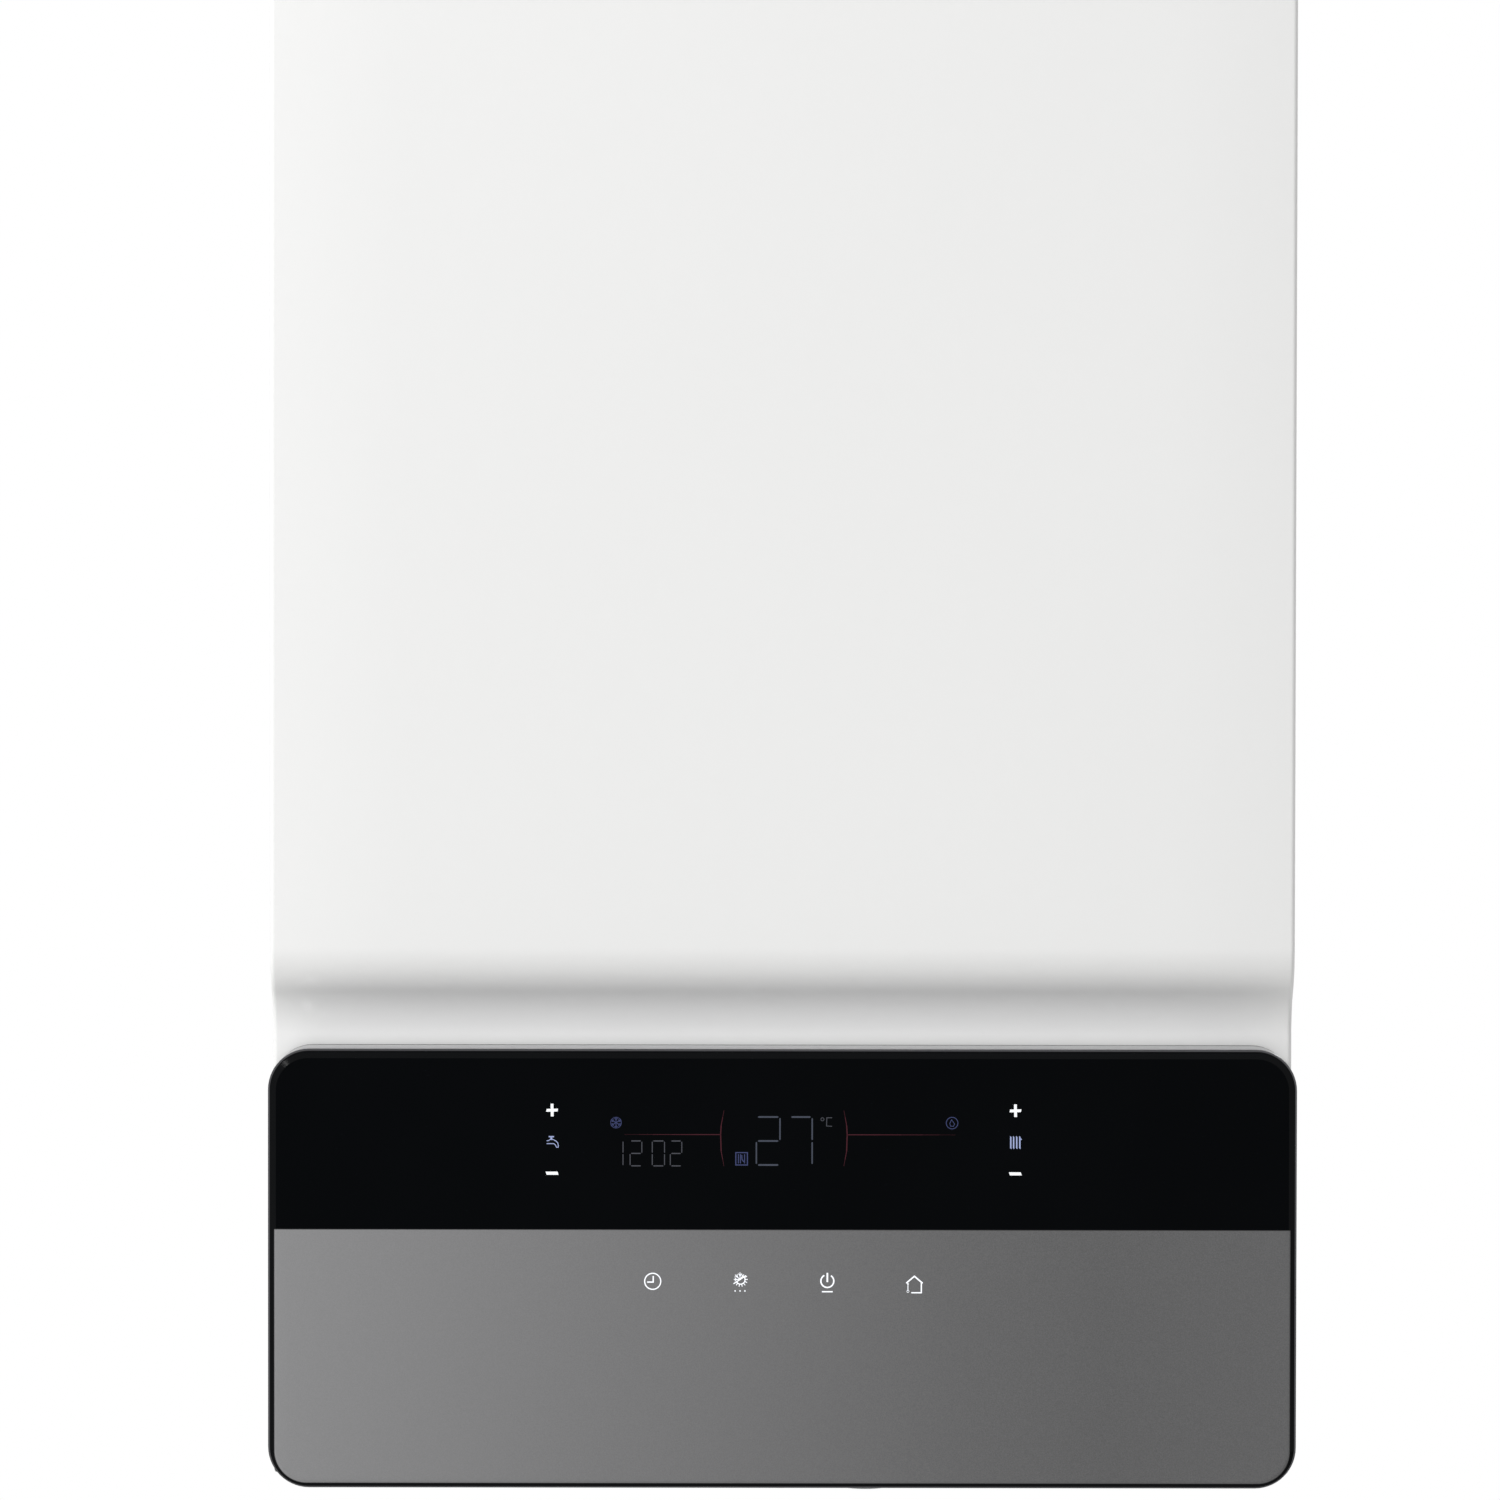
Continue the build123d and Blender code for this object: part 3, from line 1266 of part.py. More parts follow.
def condensate_drain_pipe():
    """Straight pipe from the trap down through the bottom plate."""
    at = (burner_x, -flue_depth)
    spigot_top, top = drain_bottom + spigot_length, siphon_bottom - cup_height
    pipe = rod(drain_radius, (*at, drain_bottom), (*at, spigot_top))
    pipe += prism(drain_radius - 1, (*at, spigot_top), (*at, top), 8)
    return pipe - prism(drain_radius - 3, (*at, drain_bottom - 1), (*at, top + 1), 8)


def cable_glands():
    """Glands in the bottom plate, for the mains cord and for the room controls."""
    glands = []
    for x in gland_places:
        at = (x, -gland_depth)
        gland = hexagon(gland_flats, (*at, -gland_drop), (*at, 0))
        gland += hexagon(gland_flats - 4.4, (*at, 0), (*at, sheet))
        gland += hexagon(gland_flats, (*at, sheet), (*at, sheet + 4))
        glands.append(gland - rod(gland_bore, (*at, -gland_drop - 1), (*at, sheet + 5)))
    return joined(glands)


def lower_screws():
    """Screws up through the bottom plate into the side panels' feet: (seat of the head, direction)."""
    inset = sheet + fold_height / 2
    depths = (lower_screw_back, bottom_plate_depth - lower_screw_setback)
    return [((x, -y, 0), (0, 0, 1)) for x in (-half_width + inset, half_width - inset) for y in depths]


def upper_screws():
    """Screws down through the flue flange into the top plate."""
    top = casing_height + collar_flange_thickness
    offsets = (-flange_screw_offset, flange_screw_offset)
    return [((flue_x + x, -flue_depth + y, top), (0, 0, -1)) for x in offsets for y in offsets]


def casing_screws():
    return joined([screw(at, way, 7.0, 2.5, casing_screw_radius, casing_screw_length)
                   for at, way in lower_screws() + upper_screws()])


def screw_bores(places):
    """Holes for casing screws, to cut from whatever they pass through."""
    return [bore_for(at, way, casing_screw_radius, casing_screw_length) for at, way in places]


# ---------------------------------------------------------------- all the pieces

pieces = {
    "wall_bracket": wall_bracket,
    "back_panel": back_panel,
    "side_panel_right": side_panel,
    "side_panel_left": lambda: mirrored(side_panel()),
    "top_plate": top_plate,
    "bottom_plate": bottom_plate,
    "casing_screws": casing_screws,
    "cable_glands": cable_glands,
    "front_cover": front_cover,
    "cover_gasket": cover_gasket,
    "fascia_glass": fascia_glass,
    "fascia_bezel": fascia_bezel,
    "control_tray": control_tray,
    "control_box_cover": control_box_cover,
    "control_box_screws": control_box_screws,
    "main_board": main_board,
    "touch_board": touch_board,
    "display_module": display_module,
    "panel_hinge_pins": panel_hinge_pins,
    "flue_air_collar": flue_air_collar,
    "flue_test_caps": flue_test_caps,
    "flue_duct": flue_duct,
    "exchanger_rail": exchanger_rail,
    "exchanger_case": exchanger_case,
    "exchanger_coil": exchanger_coil,
    "burner_head": burner_head,
    "burner_door": burner_door,
    "burner_door_nuts": burner_door_nuts,
    "ignition_electrodes": ignition_electrodes,
    "ignition_transformer": ignition_transformer,
    "fan_housing": fan_housing,
    "fan_impeller": fan_impeller,
    "fan_motor": fan_motor,
    "venturi_mixer": venturi_mixer,
    "air_silencer": air_silencer,
    "gas_valve_body": gas_valve_body,
    "gas_valve_coils": gas_valve_coils,
    "gas_feed_pipe": gas_feed_pipe,
    "gas_supply_pipe": gas_supply_pipe,
    "expansion_vessel_rear": expansion_vessel_rear,
    "expansion_vessel_front": expansion_vessel_front,
    "vessel_diaphragm": vessel_diaphragm,
    "vessel_pipe": vessel_pipe,
    "plate_heat_exchanger": plate_heat_exchanger,
    "flow_manifold": flow_manifold,
    "return_manifold": return_manifold,
    "diverter_motor": diverter_motor,
    "diverter_stem": diverter_stem,
    "pump_housing": pump_housing,
    "pump_motor": pump_motor,
    "pump_impeller": pump_impeller,
    "air_vent": air_vent,
    "flow_turbine": flow_turbine,
    "safety_valve": safety_valve,
    "safety_valve_knob": safety_valve_knob,
    "fill_tap_knob": fill_tap_knob,
    "flow_pipe": flow_pipe,
    "return_pipe": return_pipe,
    "condensate_siphon": condensate_siphon,
    "condensate_drain_pipe": condensate_drain_pipe,
}

os.makedirs("parts", exist_ok=True)
for name, make in pieces.items():
    export_step(make(), f"parts/{name}.step")
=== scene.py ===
"""Looks for the wall-hung combi boiler: smooth cover, glass front with its display, and a finish for every piece."""

import json
from math import asin, cos, pi, radians, sin

import bmesh
import bpy
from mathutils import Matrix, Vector


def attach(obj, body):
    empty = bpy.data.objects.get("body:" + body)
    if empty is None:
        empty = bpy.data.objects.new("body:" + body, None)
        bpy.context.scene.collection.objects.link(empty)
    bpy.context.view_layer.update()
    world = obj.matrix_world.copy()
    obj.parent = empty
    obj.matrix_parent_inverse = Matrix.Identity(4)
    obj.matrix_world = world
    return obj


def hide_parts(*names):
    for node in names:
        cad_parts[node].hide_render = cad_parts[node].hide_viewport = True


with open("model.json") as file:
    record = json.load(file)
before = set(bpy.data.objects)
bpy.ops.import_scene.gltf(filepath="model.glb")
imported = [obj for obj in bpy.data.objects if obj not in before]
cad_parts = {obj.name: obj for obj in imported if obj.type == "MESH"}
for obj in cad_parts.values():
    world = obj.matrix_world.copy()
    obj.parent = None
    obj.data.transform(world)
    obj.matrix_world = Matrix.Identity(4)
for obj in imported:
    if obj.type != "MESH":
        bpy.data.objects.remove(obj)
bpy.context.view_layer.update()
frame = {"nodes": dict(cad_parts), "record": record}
nodes = frame["nodes"]
mm = 0.001

# sizes that the pieces here share with the CAD
half_width, cover_top, lip_bottom = 200 * mm, 700 * mm, 150 * mm
cover_front, lip_front, cover_back = -285 * mm, -270 * mm, -240 * mm
curve_low, curve_high = 175 * mm, 210 * mm
panel_height, panel_corner, field_top = 171 * mm, 16 * mm, 101 * mm
glass_face, glass_back, trim_front, trim_back = -299.9 * mm, -296 * mm, -296 * mm, -273.6 * mm


# ---------------------------------------------------------------- materials

class Graph:
    """A material's node tree, with short names for the nodes used here."""

    def __init__(self, name):
        self.material = bpy.data.materials.new(name)
        self.material.use_nodes = True
        self.tree = self.material.node_tree
        self.shader = self.tree.nodes["Principled BSDF"]
        self.coordinates = self.node("ShaderNodeTexCoord").outputs["Object"]

    def node(self, kind, **settings):
        node = self.tree.nodes.new(kind)
        for key, value in settings.items():
            setattr(node, key, value)
        return node

    def link(self, output, socket):
        self.tree.links.new(output, socket)

    def noise(self, scale, detail=3.0, stretch=(1, 1, 1)):
        mapping = self.node("ShaderNodeMapping")
        mapping.inputs["Scale"].default_value = stretch
        self.link(self.coordinates, mapping.inputs["Vector"])
        texture = self.node("ShaderNodeTexNoise")
        texture.inputs["Scale"].default_value = scale
        texture.inputs["Detail"].default_value = detail
        self.link(mapping.outputs["Vector"], texture.inputs["Vector"])
        return texture.outputs["Fac"]

    def span(self, value, low, high, start=0.3, end=0.7):
        """A value spread from low to high."""
        spread = self.node("ShaderNodeMapRange")
        for key, number in (("From Min", start), ("From Max", end), ("To Min", low), ("To Max", high)):
            spread.inputs[key].default_value = number
        self.link(value, spread.inputs["Value"])
        return spread.outputs["Result"]

    def blend(self, share, first, second):
        """A colour between two, each given as numbers or as an output."""
        mix = self.node("ShaderNodeMix", data_type="RGBA")
        self.link(share, mix.inputs["Factor"])
        for socket, colour in ((mix.inputs[6], first), (mix.inputs[7], second)):
            if isinstance(colour, tuple):
                socket.default_value = (*colour, 1)
            else:
                self.link(colour, socket)
        return mix.outputs[2]

    def apart(self):
        """The point's own coordinates, one output for each axis."""
        parts = self.node("ShaderNodeSeparateXYZ")
        self.link(self.coordinates, parts.inputs["Vector"])
        return parts.outputs

    def math(self, operation, first, second=0.0):
        node = self.node("ShaderNodeMath", operation=operation)
        for socket, value in zip(node.inputs, (first, second)):
            if isinstance(value, (int, float)):
                socket.default_value = value
            else:
                self.link(value, socket)
        return node.outputs[0]

    def from_corners(self, half_x, low_z, high_z, corner):
        """How far a point lies out from the corner middles of a rounded rectangle in the front view."""
        parts = self.apart()
        x_out = self.math("SUBTRACT", self.math("ABSOLUTE", parts["X"]), half_x - corner)
        z_middle = self.math("SUBTRACT", parts["Z"], (low_z + high_z) / 2)
        z_out = self.math("SUBTRACT", self.math("ABSOLUTE", z_middle), (high_z - low_z) / 2 - corner)
        joined = self.node("ShaderNodeCombineXYZ")
        self.link(self.math("MAXIMUM", x_out), joined.inputs["X"])
        self.link(self.math("MAXIMUM", z_out), joined.inputs["Y"])
        length = self.node("ShaderNodeVectorMath", operation="LENGTH")
        self.link(joined.outputs["Vector"], length.inputs[0])
        return length.outputs["Value"]


def shade(colour, factor):
    return tuple(min(1, channel * factor) for channel in colour)


def finish(name, colour, roughness, metallic=0.0, mottle=0.04, mottle_scale=9.0, grain_scale=400.0, bump=0.05,
           stretch=(1, 1, 1), roughness_spread=0.06, coat=0.0, dust=0.0, over=None, rounding=0.0):
    """A surface with slow colour variation, fine grain in its bump, and uneven roughness.

    dust is the share of pale dust in patches, over a function that adds to the colour, and rounding the radius in
    metres by which edges look rounded.
    """
    graph = Graph(name)
    shader = graph.shader
    slow = graph.noise(mottle_scale, 4.0)
    body = graph.blend(graph.span(slow, 0, 1), shade(colour, 1 - mottle), shade(colour, 1 + mottle))
    if dust:
        patches = graph.span(graph.noise(26.0, 6.0), 0, dust, 0.45, 0.75)
        body = graph.blend(patches, body, (0.42, 0.39, 0.35))
    if over:
        body = over(graph, body)
    graph.link(body, shader.inputs["Base Color"])
    fine = graph.noise(grain_scale, 5.0, stretch)
    uneven = graph.span(fine, roughness - roughness_spread, roughness + roughness_spread)
    graph.link(uneven, shader.inputs["Roughness"])
    relief = graph.node("ShaderNodeBump")
    relief.inputs["Strength"].default_value = bump
    relief.inputs["Distance"].default_value = 0.0004
    graph.link(fine, relief.inputs["Height"])
    if rounding:
        worn = graph.node("ShaderNodeBevel", samples=4)
        worn.inputs["Radius"].default_value = rounding
        graph.link(worn.outputs["Normal"], relief.inputs["Normal"])
    graph.link(relief.outputs["Normal"], shader.inputs["Normal"])
    shader.inputs["Metallic"].default_value = metallic
    shader.inputs["Coat Weight"].default_value = coat
    shader.inputs["Coat Roughness"].default_value = 0.12
    return graph.material


def glow(name, colour, strength):
    """A printed or lit mark: its colour wavers slightly, as print and backlight do."""
    graph = Graph(name)
    lit = graph.blend(graph.span(graph.noise(90.0), 0, 1), shade(colour, 0.9), shade(colour, 1.08))
    graph.link(lit, graph.shader.inputs["Base Color"])
    graph.link(lit, graph.shader.inputs["Emission Color"])
    graph.shader.inputs["Emission Strength"].default_value = strength
    graph.shader.inputs["Roughness"].default_value = 0.5
    graph.shader.inputs["Specular IOR Level"].default_value = 0.1
    return graph.material


def trim_painted_shade(graph, body):
    """Painted shade on the trim: its front face darker than its top and sides, a darker line at its outer rounding and
    another in the gap beside the glass, where shade falls.
    """
    out = graph.from_corners(half_width, 0, panel_height, panel_corner)
    # painted shade: a near-black line in the gap between the trim and the glass
    gap_shade = graph.span(out, 1, 0, panel_corner - 0.74 * mm, panel_corner - 0.70 * mm)
    front = graph.span(graph.apart()["Y"], 1, 0, trim_front + 0.4 * mm, trim_front + 0.8 * mm)
    # painted shade: a near-black line along the front's outer rounding, which turns away from the light
    outer_rounding_shade = graph.span(out, 0, 1, panel_corner - 0.14 * mm, panel_corner - 0.08 * mm)
    rounding = graph.math("MULTIPLY", front, outer_rounding_shade)
    # painted shade: the front face darker than the top and sides, which catch more of the light
    front_face_shaded = graph.blend(front, body, (0.085, 0.085, 0.09))
    return graph.blend(graph.math("MAXIMUM", gap_shade, rounding), front_face_shaded, (0.012, 0.012, 0.013))


def spangle(graph, body):
    """The flat crystals of hot-dip zinc, each a slightly different grey."""
    cells = graph.node("ShaderNodeTexVoronoi")
    cells.inputs["Scale"].default_value = 130.0
    graph.link(graph.coordinates, cells.inputs["Vector"])
    tone = graph.node("ShaderNodeSeparateColor")
    graph.link(cells.outputs["Color"], tone.inputs["Color"])
    bright = graph.blend(graph.span(tone.outputs["Red"], 0, 1, 0, 1), (0.43, 0.45, 0.47), (0.60, 0.62, 0.64))
    return graph.blend(graph.span(graph.noise(5.0), 0.45, 0.75), body, bright)


finishes = {
    "white_enamel": finish("white_enamel", (0.86, 0.86, 0.855), 0.38, mottle=0.008, mottle_scale=3.0,
                           grain_scale=900.0, bump=0.03, coat=0.25),
    "galvanised": finish("galvanised", (0.50, 0.52, 0.54), 0.50, 1.0, mottle=0.04, mottle_scale=20.0,
                         grain_scale=160.0, bump=0.05, roughness_spread=0.08, over=spangle),
    "zinc": finish("zinc", (0.62, 0.62, 0.60), 0.32, 1.0, mottle=0.08, mottle_scale=200.0),
    # the silver trim carries painted shade on its front face and along its edge lines
    "silver_trim": finish("silver_trim", (0.42, 0.42, 0.43), 0.24, 1.0, mottle=0.03, grain_scale=900.0,
                          stretch=(0.04, 1, 1), bump=0.03, over=trim_painted_shade),
    "grey_moulding": finish("grey_moulding", (0.040, 0.042, 0.045), 0.55, mottle=0.06, grain_scale=1600.0, bump=0.16),
    "black_moulding": finish("black_moulding", (0.012, 0.012, 0.013), 0.48, mottle=0.1, grain_scale=1500.0, bump=0.18,
                             dust=0.05),
    "dark_moulding": finish("dark_moulding", (0.025, 0.025, 0.028), 0.5, mottle=0.1, grain_scale=1400.0, bump=0.15),
    "circuit_board": finish("circuit_board", (0.010, 0.085, 0.035), 0.35, mottle=0.25, mottle_scale=240.0,
                            grain_scale=700.0, coat=0.4),
    "display": finish("display", (0.010, 0.010, 0.012), 0.22, mottle=0.1),
    "stainless": finish("stainless", (0.58, 0.58, 0.57), 0.30, 1.0, mottle=0.06, grain_scale=500.0,
                        stretch=(0.05, 1, 1), bump=0.08, roughness_spread=0.09),
    "cast_aluminium": finish("cast_aluminium", (0.43, 0.43, 0.42), 0.50, 1.0, mottle=0.06, mottle_scale=120.0,
                             grain_scale=650.0, bump=0.35, roughness_spread=0.12, rounding=0.0012),
    "exchanger_alloy": finish("exchanger_alloy", (0.44, 0.43, 0.41), 0.5, 1.0, mottle=0.18, mottle_scale=30.0,
                              grain_scale=300.0, bump=0.3),
    "burner_fibre": finish("burner_fibre", (0.20, 0.18, 0.16), 0.75, 0.6, mottle=0.3, mottle_scale=500.0,
                           grain_scale=900.0, bump=0.6),
    "copper": finish("copper", (0.74, 0.36, 0.20), 0.30, 1.0, mottle=0.16, mottle_scale=40.0, bump=0.05, dust=0.08),
    "brass": finish("brass", (0.56, 0.39, 0.15), 0.36, 1.0, mottle=0.12, mottle_scale=90.0, bump=0.14, dust=0.10,
                    rounding=0.0018),
    "red_paint": finish("red_paint", (0.42, 0.018, 0.012), 0.36, mottle=0.06, grain_scale=700.0, bump=0.1, coat=0.3),
    "gasket_foam": finish("gasket_foam", (0.030, 0.030, 0.032), 0.9, mottle=0.2, mottle_scale=300.0, bump=0.7),
    "diaphragm_rubber": finish("diaphragm_rubber", (0.012, 0.012, 0.012), 0.7, bump=0.2),
    "ceramic": finish("ceramic", (0.80, 0.77, 0.70), 0.45, mottle=0.05, bump=0.1),
    "flue_plastic": finish("flue_plastic", (0.68, 0.68, 0.66), 0.45, mottle=0.03, bump=0.08),
    "flue_enamel": finish("flue_enamel", (0.80, 0.80, 0.79), 0.4, mottle=0.015, bump=0.04),
    "composite": finish("composite", (0.018, 0.018, 0.019), 0.55, mottle=0.1, grain_scale=1100.0, bump=0.25),
    "red_knob": finish("red_knob", (0.46, 0.015, 0.010), 0.4, mottle=0.05, bump=0.12),
    "blue_knob": finish("blue_knob", (0.020, 0.070, 0.30), 0.4, mottle=0.05, bump=0.12),
    "siphon_plastic": finish("siphon_plastic", (0.28, 0.29, 0.30), 0.45, mottle=0.05, bump=0.12),
}


def black_glass(name, specular):
    """Glass printed on its back: black above, a grey metallic field below inside a black border; the field's fall from
    lighter at the left to darker at the right is painted sheen, as the light falls from the left.
    """
    graph = Graph(name)
    parts = graph.apart()
    # the grey field is print; its fall from lighter at the left to darker at the right is painted sheen, where the
    # light falls from the left
    field_sheen_ramp = graph.node("ShaderNodeValToRGB")
    graph.link(graph.span(parts["X"], 0, 1, -197 * mm, 197 * mm), field_sheen_ramp.inputs["Fac"])
    sheen_stops = ((0.0, 0.250), (0.33, 0.188), (0.68, 0.129), (0.82, 0.115), (1.0, 0.122))
    while len(field_sheen_ramp.color_ramp.elements) < len(sheen_stops):
        field_sheen_ramp.color_ramp.elements.new(0.5)
    for element, (place, level) in zip(field_sheen_ramp.color_ramp.elements, sheen_stops):
        element.position = place
        element.color = (level, level, level * 1.02, 1)

    # the field's lower corners are rounded; its top is cut square, below the rounded rectangle's own top
    corner, soft = 12.5 * mm, 0.2 * mm
    field_half, field_bottom, rectangle_top = 197.2 * mm, 2.4 * mm, 160 * mm
    out = graph.from_corners(field_half, field_bottom, rectangle_top, corner)
    inside = graph.span(out, 1, 0, corner - soft, corner + soft)
    below = graph.span(parts["Z"], 1, 0, field_top - soft, field_top + soft)
    field = graph.math("MULTIPLY", inside, below)
    # fine grey flecks in the print, over the field's painted sheen
    field_print_and_sheen = graph.blend(graph.span(graph.noise(2600.0, 2.0), 0, 0.10), field_sheen_ramp.outputs["Color"], (0.5, 0.5, 0.5))
    black = graph.blend(graph.span(graph.noise(14.0), 0, 1), (0.0011, 0.0015, 0.0020), (0.0015, 0.0019, 0.0025))
    graph.link(graph.blend(field, black, field_print_and_sheen), graph.shader.inputs["Base Color"])
    graph.link(graph.span(graph.noise(6.0), 0.04, 0.08), graph.shader.inputs["Roughness"])
    graph.shader.inputs["Specular IOR Level"].default_value = specular
    return graph.material


finishes["black_glass"] = black_glass("black_glass", 0.02)


# ---------------------------------------------------------------- building pieces

def new_piece(name, mesh, material, body, smooth=30.0):
    """Puts a mesh in the scene as a piece that rides a body."""
    mesh.materials.append(material)
    mesh.shade_smooth()
    mesh.set_sharp_from_angle(angle=radians(smooth))
    piece = bpy.data.objects.new(name, mesh)
    bpy.context.scene.collection.objects.link(piece)
    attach(piece, body)
    return piece


def mesh_of(name, points, faces):
    mesh = bpy.data.meshes.new(name)
    mesh.from_pydata([tuple(point) for point in points], [], faces)
    mesh.validate()
    mesh.update()
    return mesh


def outward(mesh):
    """Turns the faces of closed forms outwards."""
    shape = bmesh.new()
    shape.from_mesh(mesh)
    bmesh.ops.recalc_face_normals(shape, faces=shape.faces)
    shape.to_mesh(mesh)
    shape.free()


def rounded_outline(half_x, low_z, high_z, corner, steps=14):
    """Points round a rounded rectangle in the front view, anticlockwise from the right."""
    points = []
    for x, z, start in ((half_x - corner, high_z - corner, 0), (-half_x + corner, high_z - corner, 90),
                        (-half_x + corner, low_z + corner, 180), (half_x - corner, low_z + corner, 270)):
        for step in range(steps + 1):
            angle = radians(start + 90 * step / steps)
            points.append((x + corner * cos(angle), z + corner * sin(angle)))
    return points


def stacked(name, rings, material, body, smooth, frame_like=False):
    """A closed form through rings of equal count: its ends are filled, or joined where it is a frame."""
    count = len(rings[0])
    points = [point for ring in rings for point in ring]
    faces = [] if frame_like else [tuple(range(count)), tuple(range((len(rings) - 1) * count, len(rings) * count))]
    for first in range(len(rings) if frame_like else len(rings) - 1):
        second = (first + 1) % len(rings)
        for place in range(count):
            after = (place + 1) % count
            faces.append((first * count + place, first * count + after,
                          second * count + after, second * count + place))
    mesh = mesh_of(name, points, faces)
    outward(mesh)
    return new_piece(name, mesh, material, body, smooth)


# ---------------------------------------------------------------- front cover

edge = 2 * mm        # radius of the cover's rounded edges


def cover_rows():
    """(height, depth of the front, side radius) along the cover, from the lip's edge up and over the top."""
    rows = [(lip_bottom, lip_front), (curve_low - 12 * mm, lip_front)]
    steps = 40
    # two arcs that turn the sheet back by as much as they turn it out
    turn = 2 * radians(23.2)
    radius = (curve_high - curve_low) / (2 * sin(turn))
    middle = (curve_low + curve_high) / 2
    for step in range(steps + 1):
        z = curve_low + (curve_high - curve_low) * step / steps
        if z <= middle:
            drop = radius - (radius ** 2 - (z - curve_low) ** 2) ** 0.5
            rows.append((z, lip_front - drop))
        else:
            drop = radius - (radius ** 2 - (curve_high - z) ** 2) ** 0.5
            rows.append((z, cover_front + drop))
    rows += [(z * mm, cover_front) for z in (222, 300, 400, 500, 600, 690)]
    for step in range(9):
        angle = pi / 2 * step / 8
        rows.append((cover_top - edge + edge * sin(angle), cover_front + edge - edge * cos(angle)))
    return rows + [(cover_top, lip_front), (cover_top, cover_back - 15 * mm), (cover_top, cover_back)]


def cover_row(z, front):
    """One section across the cover: side return, rounded edge, front, and back along the other side."""
    radius = min(edge, max(cover_back - front, 0))
    right = [(half_width, cover_back, z)]
    for step in range(7):
        angle = pi / 2 * step / 6
        right.append((half_width - radius + radius * cos(angle), front + radius - radius * sin(angle), z))
    flat = [(x * mm, front, z) for x in (150, 75, 0, -75, -150)]
    return right + flat + [(-x, y, z) for x, y, z in reversed(right)]


def make_cover():
    """The cover's outer face as one mesh, given its sheet's thickness inwards."""
    rows = [cover_row(z, front) for z, front in cover_rows()]
    count = len(rows[0])
    points = [point for row in rows for point in row]
    faces = [(r * count + c, r * count + c + 1, (r + 1) * count + c + 1, (r + 1) * count + c)
             for r in range(len(rows) - 1) for c in range(count - 1)]
    mesh = mesh_of("cover_shell", points, faces)
    shape = bmesh.new()
    shape.from_mesh(mesh)
    bmesh.ops.remove_doubles(shape, verts=shape.verts, dist=1e-6)
    bmesh.ops.dissolve_degenerate(shape, dist=1e-6, edges=shape.edges)
    bmesh.ops.recalc_face_normals(shape, faces=shape.faces)
    shape.to_mesh(mesh)
    shape.free()
    piece = new_piece("cover_shell", mesh, finishes["white_enamel"], "front_cover", 40)
    sheet = piece.modifiers.new("sheet", "SOLIDIFY")
    sheet.thickness = 1.2 * mm
    sheet.offset = -1
    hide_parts("front_cover")


make_cover()


# ---------------------------------------------------------------- glass front

def ring(inset, y):
    """The panel's outline, drawn in by an inset."""
    outline = rounded_outline(half_width - inset, inset, panel_height - inset, panel_corner - inset)
    return [(x, y, z) for x, z in outline]


# the glass stands 1 mm inside the trim, and its bevel runs between these insets
rim, bevel_start, bevel_end = 1 * mm, 1.15 * mm, 3.3 * mm
front_glass = stacked("glass_front", [ring(rim, glass_back), ring(rim, glass_face + 1.15 * mm),
                                      ring(bevel_start, glass_face + 1.0 * mm),
                                      ring(bevel_end, glass_face + 0.05 * mm),
                                      ring(bevel_end + 0.3 * mm, glass_face)],
                      finishes["black_glass"], "control_panel", 18)
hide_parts("fascia_glass")
# a glossier skin over the glass's bevel, which catches the light at the corners
stacked("glass_bevel", [ring(bevel_start, glass_face + 1.06 * mm),
                        ring(bevel_start + 0.03 * mm, glass_face + 0.95 * mm),
                        ring(bevel_end, glass_face), ring(bevel_end + 0.1 * mm, glass_face + 0.04 * mm)],
        black_glass("bevel_glass", 0.07), "control_panel", 18, frame_like=True)

trim_wall = 2.4 * mm
trim = stacked("front_trim", [ring(0, trim_back), ring(0, trim_front + 0.5 * mm),
                              ring(0.08 * mm, trim_front + 0.25 * mm), ring(0.25 * mm, trim_front + 0.07 * mm),
                              ring(0.5 * mm, trim_front + 0.01 * mm), ring(trim_wall, trim_front + 0.01 * mm),
                              ring(trim_wall, trim_back)],
               finishes["silver_trim"], "control_panel", 30, frame_like=True)
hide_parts("fascia_bezel")

printed = glass_face - 0.04 * mm     # marks lie just proud of the glass
shift_x, shift_z = 0.2, 0.3          # all marks are moved by this many millimetres, to lie as in the photo


